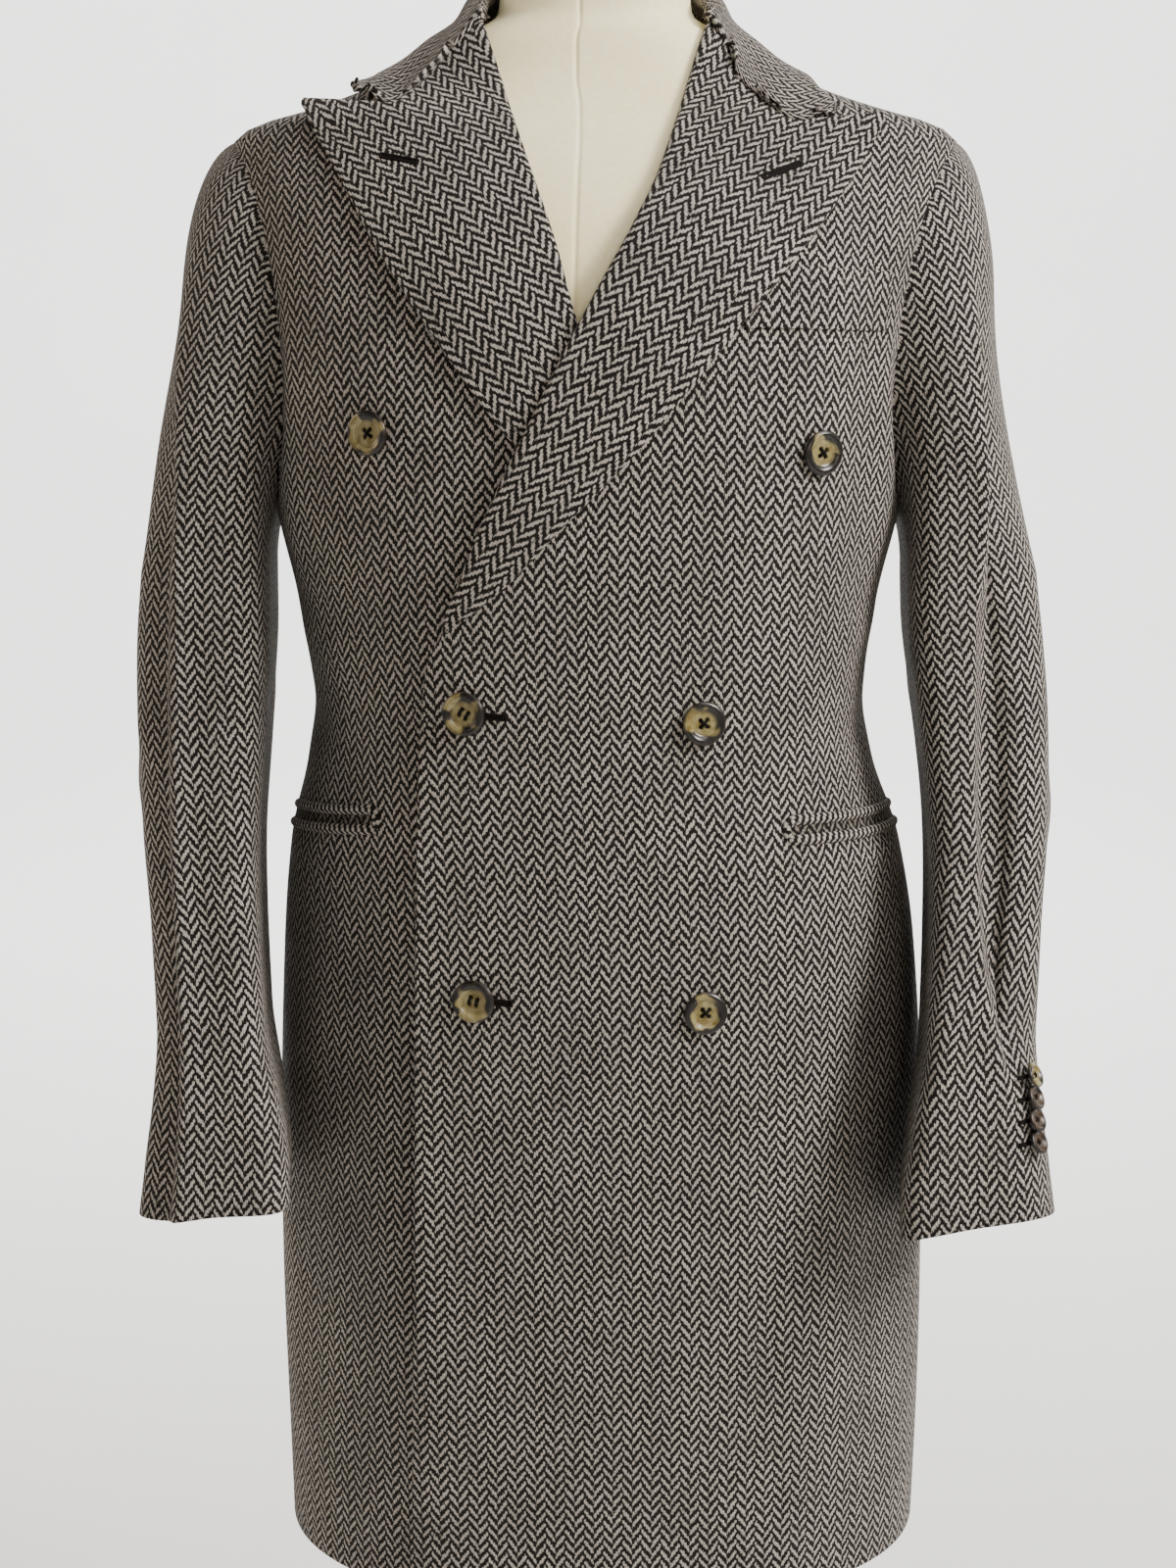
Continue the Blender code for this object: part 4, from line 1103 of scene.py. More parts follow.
@dataclass
class Lapels(CoatPart):
    """The turned-out fronts: each rolls over at its fold and lies on its front."""

    rows: int = 76
    top_rows: int = 14
    columns: int = 49
    curl_columns: int = 9
    neck_lift: float = -0.0014
    neck_lift_z: Span = (1.305, 1.340)
    belly: float = 0.0022
    edge_lift: float = 0.0016
    thickness: float = 0.0034
    peak_steps: Span = (6.6, 8.0)
    belly_rises: Span = (0.4, 2.5)
    belly_fades: Span = (5.5, 8.0)
    edge_steps: Span = (0.6, 2.0)
    foot_steps: Span = (-0.15, 0.55)
    roll_reach: Span = (0.0050, 0.0032)
    roll_steps: Span = (0.5, 5.0)
    roll_starts: Span = (-0.4, 0.6)
    roll_turn: float = math.pi * 0.94
    corner_passes: int = 3
    break_z: float = 1.025
    # How far each peak stands up, and the slope of each weave, which runs along the outer edge
    peak_lift: ClassVar[dict[Side, float]] = {Side.LEFT: 0.0010, Side.RIGHT: 0.0060}
    grain_turn: ClassVar[dict[Side, float]] = {Side.LEFT: 56, Side.RIGHT: 123}

    def layout(self, side: Side) -> tuple[np.ndarray, np.ndarray, np.ndarray]:
        """Return a lapel's points seen from the front, and how far up it each row lies.

        Args:
            side: The wearer's side.

        Returns:
            x and z as rows by columns, and the rows' steps, which end at 8 along the top.
        """
        table, top = LAPEL_ROWS[side], LAPEL_TOPS[side]
        across = np.linspace(0, 1, self.columns)
        last = table.keys[-1]
        step = np.linspace(0, last, self.rows)
        x, z = (lerp(table.read("roll_" + axis, step)[:, None], table.read("edge_" + axis, step)[:, None],
                     across) for axis in "xz")
        marks = np.linspace(0, 1, len(top))
        top_x = np.interp(across, marks, [p.x for p in top])
        top_z = np.interp(across, marks, [p.z for p in top])
        more = np.linspace(0, 1, self.top_rows + 1)[1:, None]
        x = np.concatenate([x, lerp(x[-1], top_x, more)])
        z = np.concatenate([z, lerp(z[-1], top_z, more)])
        for values in (x, z):
            round_corners(values, (-1,), self.corner_passes)
        return x, z, np.concatenate([step, last + more[:, 0]])

    def heights(self, side: Side, z: np.ndarray, step: np.ndarray) -> np.ndarray:
        """Return how far the lapel's outer face stands off the inside of its front."""
        across = np.linspace(0, 1, self.columns)[None, :]
        rise = step[:, None]
        peak = self.peak_lift[side] * across ** 2 * ease(rise, *self.peak_steps)
        belly = self.belly * np.sin(math.pi * across)
        belly = belly * rise_and_fade(rise, self.belly_rises, self.belly_fades)
        edge = self.edge_lift * across ** 4 * ease(rise, *self.edge_steps)
        foot = ease(rise, *self.foot_steps)
        neck = self.neck_lift * ease(z, *self.neck_lift_z)
        return CLOTH + foot * (LAYER + peak + belly + edge + neck)

    def lapel(self, side: Side) -> ClothPiece:
        """Return one lapel with the curl of its roll line."""
        x, z, step = self.layout(side)
        out = self.heights(side, z, step)
        turn = self.torso.front_turn(x, z)
        points = self.torso.front_point(side, x, z, out)
        flat = self.torso.grain(turn, z, FRONT_CLIMB)
        normal = self.torso.normal(turn[:, 0], z[:, 0])
        away = points[:, 0] - points[:, 1]
        away = unit(away - normal * (away * normal).sum(axis=1, keepdims=True))
        half = out[:, 0] / 2
        reach = lerp(*self.roll_reach, ease(step, *self.roll_steps)) * ease(step, *self.roll_starts)
        swing = np.linspace(0, self.roll_turn, self.curl_columns + 1)[1:]
        middle = points[:, 0] - normal * half[:, None]
        curl = middle[:, None] + normal[:, None] * (half[:, None] * np.cos(swing))[..., None]
        curl = curl + away[:, None] * (reach[:, None] * np.sin(swing))[..., None]
        flat_away = unit(flat[:, 0] - flat[:, 1])
        run = (half[:, None] + reach[:, None]) / 2 * swing
        flat_curl = flat[:, 0][:, None] + flat_away[:, None] * run[..., None]
        points = np.concatenate([curl[:, ::-1], points], axis=1)
        flat = np.concatenate([flat_curl[:, ::-1], flat], axis=1)
        slope = math.radians(self.grain_turn[side])
        grain = np.stack([
            flat[..., 0] * math.sin(slope) - flat[..., 1] * math.cos(slope),
            flat[..., 0] * math.cos(slope) + flat[..., 1] * math.sin(slope)], axis=-1)
        return self.cloth(f"lapel_{side.word}", points, grain, thickness=self.thickness)


@dataclass
class Collar(CoatPart):
    """Stand and fall in one folded strip, from the middle of the back to a tip at each gorge."""

    columns: int = 150
    across: int = 46
    fold: float = 0.0028
    clear: float = 0.0014
    stand_share: float = 0.55
    end_starts: float = 0.72
    end_power: float = 1.5
    gorge_gap: float = -0.0005
    gorge_lifts: tuple[float, ...] = (0.0003, 0.0008, 0.0016)
    corner_passes: int = 7
    thickness: float = 0.0036
    falls: tuple[float, ...] = (0.0, 0.25, 0.5, 0.75, 1.0)
    gorge: ClassVar[dict[Side, tuple[TopPoint, ...]]] = {
        Side.LEFT: (TopPoint(0.0724, 1.3476), TopPoint(0.0870, 1.3218), TopPoint(0.1095, 1.3065)),
        Side.RIGHT: (TopPoint(-0.0787, 1.3476), TopPoint(-0.0932, 1.3293), TopPoint(-0.1089, 1.3145)),
    }
    # Where each tip lies, and how far it curls up
    tips: ClassVar[dict[Side, tuple[TopPoint, float]]] = {
        Side.LEFT: (TopPoint(0.1317, 1.3110), 0.0036),
        Side.RIGHT: (TopPoint(-0.1316, 1.3195), 0.0105),
    }
    measured_at: float = 0.7
    sizes: Table = Table(
        "u seam_turn crest_x crest_y crest_z edge_turn edge_z bulge",
        (0.00, 180, 0.0000, 0.0635, 1.4010, 180, 1.3400, 0.0040),
        (0.25, 152, 0.0355, 0.0540, 1.3985, 154, 1.3400, 0.0030),
        (0.50, 118, 0.0590, 0.0255, 1.3910, 121, 1.3390, -0.0005),
        (0.70, 96, 0.0620, 0.0000, 1.3830, 95, 1.3360, -0.0020),
        (0.85, 81, 0.0635, -0.0180, 1.3785, 80, 1.3345, -0.0005),
        (1.00, 68, 0.0640, -0.0345, 1.3690, 69, 1.3190, 0.0000),
    )

    def marks(self, u: float) -> np.ndarray:
        """Return the points that the inside passes through at u, from neck seam over crest to edge."""
        side, share = (Side.LEFT, u) if u >= 0 else (Side.RIGHT, -u)
        size = {name: float(self.sizes.read(name, share)) for name in self.sizes.columns}
        sign = side.value
        seam = self.torso.point(sign * math.radians(size["seam_turn"]), NECK, CLOTH / 2)
        seam = seam + np.array((0.0, 0.0, SEAM + CLOTH / 4))
        crest = np.array((sign * size["crest_x"], size["crest_y"], size["crest_z"]))
        outward = unit(crest * (1, 1, 0))
        fold = lerp(self.fold, self.fold / 2, share)
        near, far = crest - outward * fold, crest + outward * fold
        over = crest + np.array((0.0, 0.0, fold))
        edge = self.torso.point(sign * math.radians(size["edge_turn"]), size["edge_z"], LAYER)
        tip, tip_lift = self.tips[side]
        ends = [far]
        for place, lift in zip(self.gorge[side], self.gorge_lifts):
            x, z = place.x + sign * self.gorge_gap, place.z + self.gorge_gap
            ends.append(self.torso.front_point(side, x, z, LAYER + lift))
        ends.append(self.torso.front_point(side, tip.x, tip.z, LAYER + tip_lift))
        blend = float(ease(share, self.end_starts, 1.0)) ** self.end_power
        fall = []
        for k, w in enumerate(self.falls):
            plain = lerp(far, edge, w) + (outward + (0, 0, 1)) * size["bulge"] * 4 * w * (1 - w)
            fall.append(self.torso.clear(lerp(plain, ends[k], blend), LAYER + self.clear * w))
        return np.array([seam, lerp(seam, near, self.stand_share), near, over, *fall])

    def strip(self) -> np.ndarray:
        """Return the inside's points, smoothed across the strip with a curve through its marks."""
        rows = []
        for u in np.linspace(-1, 1, self.columns):
            marks = self.marks(float(u))
            run = lengths_along(marks, 0)
            at = np.linspace(0, run[-1], self.across)
            rows.append(curve_through(run, marks, np.gradient(marks, run, axis=0), at))
        points = np.array(rows)
        round_corners(points, (0, -1), self.corner_passes)
        return points

    def collar(self) -> ClothPiece:
        """Return the whole collar."""
        inside = self.strip()
        normals = -grid_normals(inside)
        points = inside + normals * CLOTH
        middle = self.columns // 2
        along = lengths_along(points, 0)[:, int(self.across * self.measured_at)]
        up = -lengths_along(points, 1)
        grain = np.stack([np.broadcast_to((along - along[middle])[:, None], up.shape), up], axis=-1)
        outward = tuple(normals[middle, self.across // 2])
        return replace(self.cloth("collar", points, grain, outward, self.thickness), curved_cut=True)


# The pressed line down the front of the right sleeve
PRESSED_LINE = (
    (16, 1.2800), (30, 1.2000), (47, 1.1500), (63, 1.1075), (71, 1.0450), (72, 0.9500),
    (70, 0.8875), (67, 0.8325), (64, 0.7500), (63, 0.7000), (63, 0.6200),
)


@dataclass
class Sleeves(CoatPart):
    """Two-piece sleeves: rings of the outer face down to the cuff, and a head set in the armhole."""

    armhole: Armhole
    roundness: float = 2.3
    row_step: float = 0.0045
    turn_step: float = 2.0
    crown_rows: int = 40
    lean_z: Span = (0.920, 1.060)
    corner_z: Span = (0.820, 1.000)
    ahead_z: Span = (0.760, 0.950)
    tilt_z: Span = (0.695, 0.985)
    spread: float = -0.30
    fall: float = -0.26
    leave_bottom: float = 0.55
    arrive: Span = (0.75, 1.12)
    front_seam: float = 150.0
    head_rise: float = 0.0016
    head_tuck: float = 0.0026
    head_power: int = 6
    crease_radius: float = 0.055
    swell: float = 0.0005
    crown_power: float = 1.15
    corner_low: float = 1.4
    corner_side: float = 1.5
    set_in: Span = (0.0, 0.5)
    head_levels: int = 80
    head_upright: float = 0.6
    front_starts: Span = (0.0, 0.5)
    rings: Table = Table(
        "z middle_x middle_y half_x half_y",
        (0.695, 0.2204, -0.102, 0.0426, 0.055),
        (0.722, 0.2192, -0.096, 0.0408, 0.057),
        (0.755, 0.2198, -0.087, 0.0363, 0.060),
        (0.800, 0.2227, -0.072, 0.0316, 0.063),
        (0.852, 0.2268, -0.053, 0.0322, 0.066),
        (0.920, 0.2309, -0.031, 0.0352, 0.070),
        (0.985, 0.2308, -0.014, 0.0390, 0.073),
        (1.020, 0.2295, -0.006, 0.0400, 0.075),
        (1.060, 0.2275, 0.000, 0.0385, 0.077),
    )
    own: Table = Table(
        "sign lean ahead tilt_side tilt_front cuff_rise flare leave_top back_seam corner",
        (-1, 0.0010, 0.0, -0.16, -0.11, 0.0103, 0.22, 0.50, -60, 0.15),
        (1, -0.0060, 0.011, 0.14, -0.30, 0.0, 0.30, 0.38, -15, 0.17),
    )
    bends_right: tuple[Crease | Fold, ...] = (
        Fold(PRESSED_LINE, 0.022, 0.0105, 0.032),
        Fold(PRESSED_LINE, 0.0055, 0.0018, aside=12),
        Crease((38, 1.05), (36, 0.78), 0.010, -0.0018),
        Crease((100, 1.08), (92, 0.80), 0.009, -0.0018),
        Crease((20, 0.99), (62, 0.93), 0.008, 0.0016),
        Crease((118, 0.99), (84, 0.935), 0.008, 0.0018),
        Crease((128, 0.92), (88, 0.90), 0.007, -0.0016),
        Crease((-20, 0.97), (24, 0.92), 0.009, 0.0020),
        Crease((200, 1.00), (250, 0.95), 0.010, 0.0022),
        Crease((210, 0.93), (260, 0.90), 0.009, -0.0018),
        Crease((280, 1.08), (300, 0.86), 0.010, 0.0024),
    )
    bends_left: tuple[Crease | Fold, ...] = (
        Fold(((40, 1.2500), (48, 1.2100), (72, 1.1075), (91, 1.0600), (101, 0.9720), (105, 0.9190),
              (100, 0.8720), (94, 0.8390), (86, 0.8130), (70, 0.7750)), 0.012, 0.0200, 0.062),
        Crease((124, 0.97), (92, 0.925), 0.008, -0.0012),
        Crease((128, 0.93), (88, 0.885), 0.007, 0.0010),
        Crease((-20, 0.96), (28, 0.905), 0.009, 0.0020),
        Crease((196, 1.00), (246, 0.96), 0.010, 0.0022),
        Crease((214, 0.94), (262, 0.90), 0.009, -0.0018),
        Crease((282, 1.06), (296, 0.84), 0.010, 0.0024),
    )

    def size(self, side: Side, name: str) -> float:
        """Return one of a sleeve's own sizes."""
        return float(self.own.read(name, side.value))

    def ring(self, side: Side, turn: np.ndarray, z: np.ndarray) -> np.ndarray:
        """Return points of the outer face on the ring at each height."""
        half_x, half_y, middle_x, middle_y = (
            self.rings.read(name, z) for name in ("half_x", "half_y", "middle_x", "middle_y"))
        power = 2 / self.roundness
        across = np.sign(np.cos(turn)) * np.abs(np.cos(turn)) ** power * half_x
        ahead = np.sign(np.sin(turn)) * np.abs(np.sin(turn)) ** power * half_y
        tilt = 1 - ease(z, *self.tilt_z)
        rise = across * self.size(side, "tilt_side") - ahead * self.size(side, "tilt_front")
        rise = tilt * (rise + self.size(side, "cuff_rise"))
        lean = self.size(side, "lean") * ease(z, *self.lean_z)
        inner_front = (np.cos(turn) < 0) & (np.sin(turn) > 0)
        corner = self.size(side, "corner") * np.where(inner_front, np.sin(2 * turn) ** 2, 0.0)
        corner = corner * lerp(self.corner_low, 1.0, ease(z, *self.corner_z))
        across = across - self.corner_side * corner * half_x
        ahead = ahead + corner * half_y
        ahead = ahead + self.size(side, "ahead") * (1 - ease(z, *self.ahead_z))
        x = side.value * (middle_x + lean + across)
        return np.stack([x, middle_y - ahead, z + rise], axis=-1)

    def crown(self, side: Side, turn: np.ndarray, share: np.ndarray) -> np.ndarray:
        """Return points of the sleeve head, from the armhole to the first full ring."""
        start = self.armhole.point(self.torso, side, turn)
        high = np.clip(np.cos(turn), 0.0, 1.0) ** self.head_power
        start[:, 0] -= side.value * self.head_tuck * high
        start[:, 2] += self.head_rise * high
        end = self.ring(side, turn, np.full(turn.shape, self.rings.keys[-1]))
        span = np.linalg.norm(end - start, axis=-1)
        top = (1 + np.cos(turn)) / 2
        outward = np.full(turn.shape, float(side.value))
        leave = unit(np.stack([outward, self.spread * np.sin(turn), self.fall * top], axis=-1))
        arrive = np.stack([outward * self.size(side, "flare") * top, 0 * top, 0 * top - 1.0], axis=-1)
        leave = leave * (span * lerp(self.leave_bottom, self.size(side, "leave_top"), top))[:, None]
        arrive = arrive * (span * lerp(*self.arrive, top))[:, None]
        return hermite(start, end, leave, arrive, share[:, None, None])

    def surface(self, side: Side, turn: np.ndarray) -> np.ndarray:
        """Return the outer face as rows from armhole to cuff, along the given turns, with its creases."""
        share = np.linspace(0, 1, self.crown_rows, endpoint=False) ** self.crown_power
        top, bottom = self.rings.keys[-1], self.rings.keys[0]
        count = round((top - bottom) / self.row_step) + 1
        z = np.linspace(top, bottom, count)
        turns, levels = np.meshgrid(turn, z)
        points = np.concatenate([self.crown(side, turn, share), self.ring(side, turns, levels)])
        bends = self.bends_left if side is Side.LEFT else self.bends_right
        out = relief(bends, self.swell, turn[None, :], points[..., 2], self.crease_radius)
        set_in = np.concatenate([ease(share, *self.set_in), np.ones(count)])
        return points + grid_normals(points) * side.value * (out * set_in[:, None])[..., None]

    def grain(self, turn: np.ndarray, points: np.ndarray) -> np.ndarray:
        """Return places on the flat cloth: round from the outer side, and up along the arm.

        Args:
            turn: The turns of the columns.
            points: The outer face, as rows from armhole to cuff.

        Returns:
            The places as rows by columns by (round, up).
        """
        first = int(np.argmax(np.cos(turn)))
        head = points[:self.crown_rows + 1]
        levels = np.linspace(head[..., 2].min(), head[..., 2].max(), self.head_levels)
        slices = np.stack([
            [np.interp(levels, column[::-1, 2], column[::-1, axis]) for axis in (0, 1)]
            for column in np.swapaxes(head, 0, 1)])
        arcs = lengths_along(np.moveaxis(slices, 1, -1), 0)
        arcs = arcs - arcs[first]
        head_round = np.stack([
            np.interp(head[:-1, k, 2], levels, arcs[k]) for k in range(len(turn))], axis=1)
        upright = self.head_upright * (np.abs(slices[first, 0, 0]) - np.abs(slices[first, 0]))
        at_front = ease(np.sin(turn), *self.front_starts)
        head_round = head_round + np.interp(head[:-1, :, 2], levels, upright) * at_front
        arm_round = lengths_along(points[self.crown_rows:, :, :2], 1)
        around = np.concatenate([head_round, arm_round - arm_round[:, first:first + 1]])
        path = lengths_along(points[:self.crown_rows + 1], 0)
        drop = points[:1, :, 2] - points[:self.crown_rows + 1, :, 2]
        extra = (path[-1] - drop[-1]) - (path - drop)
        up = points[..., 2].copy()
        up[:self.crown_rows + 1] += extra * ((1 + np.cos(turn)) / 2) ** 2
        return np.stack([around, up], axis=-1)

    def piece(self, side: Side, name: str) -> ClothPiece:
        """Return the top or the under piece of a sleeve, a little short of its two seams."""
        back_seam = self.size(side, "back_seam")
        first, last = (back_seam, self.front_seam) if name == "top" else (self.front_seam, back_seam + 360)
        count = round((last - first) / self.turn_step)
        turn = np.radians(np.linspace(first, last, count + 1))
        points = self.surface(side, turn)
        gap = SEAM / 2
        points[:, 0] += unit(points[:, 1] - points[:, 0]) * gap
        points[:, -1] += unit(points[:, -2] - points[:, -1]) * gap
        grain = self.grain(turn, points)
        middle = points[points.shape[0] // 2]
        outward = tuple(middle[len(turn) // 2] - middle.mean(axis=0))
        return self.cloth(f"sleeve_{side.word}_{name}", points, grain, outward)


@dataclass
class Pockets(CoatPart):
    """The jetted hip pockets and the breast pocket's welt."""

    outer_turn: float = math.radians(82.0)
    mouth_width: float = 0.0042
    jet_width: float = 0.0062
    jet_height: float = 0.0036
    stripe_share: float = 1.45
    bend: float = 0.0065
    radian: float = 0.17
    steps: int = 60
    bend_turn: float = 140
    bend_steps: int = 17
    end_power: int = 24
    end_width: float = 0.7
    round_steps: int = 9
    jet_sink: float = 0.0004
    jet_thick: float = 0.0008
    weave_start: float = 0.0008
    mouth_tuck: float = 0.0006
    mouth_lift: float = 0.0003
    mouth_thick: float = 0.0006
    welt_height: float = 0.0016
    welt_thick: float = 0.0014
    welt_z: Span = (1.1985, 1.2290)
    welt_inner_x: Span = (0.0755, 0.1010)
    welt_outer_x: Span = (0.1570, 0.1600)
    # A hip pocket's inner turn, and the heights of its inner and outer end
    ends: ClassVar[dict[Side, Spot]] = {
        Side.LEFT: (math.radians(42.2), 0.9235, 0.9165),
        Side.RIGHT: (math.radians(49.2), 0.9275, 0.9155),
    }

    def lay(self, side: Side, turn: np.ndarray, z: np.ndarray, out: np.ndarray) -> np.ndarray:
        """Return points a distance off a front's outer face, at turns counted from the middle."""
        turn = side.value * turn
        lift = self.torso.overlap_lift(side, self.torso.ring(turn, z)[..., 0], z)
        return self.torso.point(turn, z, CLOTH + out + lift)

    def jet(self, side: Side, upper: bool) -> Piece:
        """Make a jet: a rounded strip of slanting weave; the upper one bends down at its inner end."""
        inner, inner_z, outer_z = self.ends[side]
        half = self.jet_width / 2
        middle = (self.mouth_width / 2 + SEAM + half) * (1 if upper else -1)
        share = np.linspace(1, 0, self.steps)
        start = inner + (self.bend / self.radian if upper else 0.0)
        turn = lerp(start, self.outer_turn, share)
        z = lerp(inner_z, outer_z, share) + middle
        if upper:
            swing = np.radians(np.linspace(0, self.bend_turn, self.bend_steps))[1:]
            turn = np.concatenate([turn, start - self.bend / self.radian * np.sin(swing)])
            z = np.concatenate([z, inner_z + middle * np.cos(swing)])
        path = np.stack([turn * self.radian, z], axis=1)
        along = unit(np.gradient(path, axis=0))
        run = lengths_along(path, 0)
        near_end = np.abs(2 * run / run[-1] - 1) ** self.end_power
        full = np.sqrt(np.clip(1 - near_end, 0.0, 1.0))
        swing = np.linspace(0, math.pi, self.round_steps)[:, None]
        aside = half * np.cos(swing) * lerp(self.end_width, 1.0, full)
        out = self.jet_height * np.sin(swing) * full - self.jet_sink
        points = self.lay(side, turn - aside * along[:, 1] / self.radian, z + aside * along[:, 0], out)
        length = np.broadcast_to(lengths_along(points[self.round_steps // 2], 0), aside.shape)
        around = self.weave_start + half * 0.5 * swing + 0 * length
        grain = np.stack([around, length * self.stripe_share], axis=-1)
        name = f"jet_{side.word}_{'upper' if upper else 'lower'}"
        return self.cloth(name, points, grain, thickness=self.jet_thick).sew_on()

    def mouth(self, side: Side) -> Piece:
        """Make the facing that shows between the jets, in a darker copy of the coating: painted shade for
        the inside of the pocket.
        """
        inner, inner_z, outer_z = self.ends[side]
        rows = np.linspace(-1, 1, 5)[:, None]
        share = np.linspace(0, 1, self.steps)[None, :]
        turn = lerp(inner + 0.5 * self.bend / self.radian, self.outer_turn, share) + 0 * rows
        z = lerp(inner_z, outer_z, share) + rows * (self.mouth_width / 2 + self.mouth_tuck)
        points = self.lay(side, turn, z, self.mouth_lift * (1 + np.abs(rows)) + 0 * share)
        grain = self.torso.grain(turn, z, FRONT_CLIMB)
        piece = self.cloth(f"mouth_{side.word}", points, grain, thickness=self.mouth_thick)
        return replace(piece, material=self.finishes.facing).sew_on("pocket_dark")

    def welt(self) -> Piece:
        """Make the breast welt, cut to match the weave of the front it is sewn on."""
        rise = np.linspace(0, 1, 12)[:, None]
        share = np.linspace(0, 1, 26)[None, :]
        z = lerp(*self.welt_z, rise) + 0 * share
        x = lerp(lerp(*self.welt_inner_x, rise), lerp(*self.welt_outer_x, rise), share)
        points = self.torso.front_point(Side.LEFT, x, z, CLOTH + self.welt_height)
        grain = self.torso.grain(self.torso.front_turn(x, z), z, FRONT_CLIMB)
        return self.cloth("welt_breast", points, grain, thickness=self.welt_thick).sew_on()


@dataclass
class HornButton:
    """A turned four-hole button and the thread that holds it."""

    name: str
    place: np.ndarray
    normal: np.ndarray
    radius: float
    thick: float
    hold: Hold
    spin: float
    turns: int = 56
    hole_reach: float = 0.165
    hole_radius: float = 0.10
    hole_edge: Span = (0.72, 1.15)
    hole_depth: float = 0.42
    face_above: float = 0.3
    dish_radius: float = 0.5
    dish_middle: float = 0.52
    dish_rise: float = 0.03
    dish_steps: int = 22
    thread: float = 0.075
    thread_foot: float = 0.30
    thread_rise: float = 0.36
    thread_over: float = 0.06
    profile: tuple[Place, ...] = (
        (0.53, 0.55), (0.57, 0.60), (0.62, 0.72), (0.67, 0.86), (0.73, 0.95), (0.80, 1.00),
        (0.87, 0.99), (0.93, 0.92), (0.975, 0.80), (1.00, 0.64), (0.99, 0.44), (0.95, 0.22),
        (0.88, 0.06), (0.82, 0.00), (0.40, 0.00), (0.00, 0.00),
    )

    def axes(self) -> tuple[np.ndarray, np.ndarray, np.ndarray]:
        """Return the button's right, up and outward directions."""
        out = unit(self.normal)
        right = unit(np.cross((0.0, 0.0, 1.0), out))
        up = np.cross(out, right)
        turn = math.radians(self.spin)
        return (right * math.cos(turn) + up * math.sin(turn),
                up * math.cos(turn) - right * math.sin(turn), out)

    def holes(self) -> list[Place]:
        """Return the middles of the four holes, as shares of the radius."""
        corners = ((1, 1), (-1, 1), (-1, -1), (1, -1))
        return [(a * self.hole_reach, b * self.hole_reach) for a, b in corners]

    def build(self, material: Material) -> None:
        """Make the button, spun from its profile, with four wells pressed into its dish."""
        shares = np.linspace(0, 1, self.dish_steps)
        dish = [(self.dish_radius * s, self.dish_middle + self.dish_rise * s ** 2) for s in shares]
        bm = spin_outline((*dish, *self.profile), self.turns, 0.0001)
        lay_flat(bm, "face", lambda vertex: (vertex.co.x * self.radius, vertex.co.y * self.radius))
        right, up, out = self.axes()
        for vertex in bm.verts:
            x, y, h = vertex.co
            if h > self.face_above:
                near = min(math.hypot(x - a, y - b) for a, b in self.holes()) / self.hole_radius
                h -= self.hole_depth * (1 - float(ease(near, *self.hole_edge)))
            vertex.co = self.place + self.radius * (x * right + y * up) + self.thick * h * out
        dress(new_piece(self.name + "_turned", bm, material), "horn", self.name)

    def sew(self, bm: BMesh) -> None:
        """Add the thread that shows on the button's face."""
        right, up, out = self.axes()
        a, b, c, d = self.holes()
        pairs = ((a, c), (b, d)) if self.hold is Hold.CROSS else ((a, d), (b, c))
        for number, (first, last) in enumerate(pairs):
            t = np.linspace(0, 1, 9)
            x, y = lerp(first[0], last[0], t), lerp(first[1], last[1], t)
            rise = self.thread_rise + self.thread_over * number
            height = self.thread_foot + rise * np.sin(math.pi * t) ** 0.5
            path = self.place + self.radius * (x[:, None] * right + y[:, None] * up)
            add_tube(bm, path + self.thick * height[:, None] * out, out, self.thread * self.radius,
                     THREAD_FLATNESS)


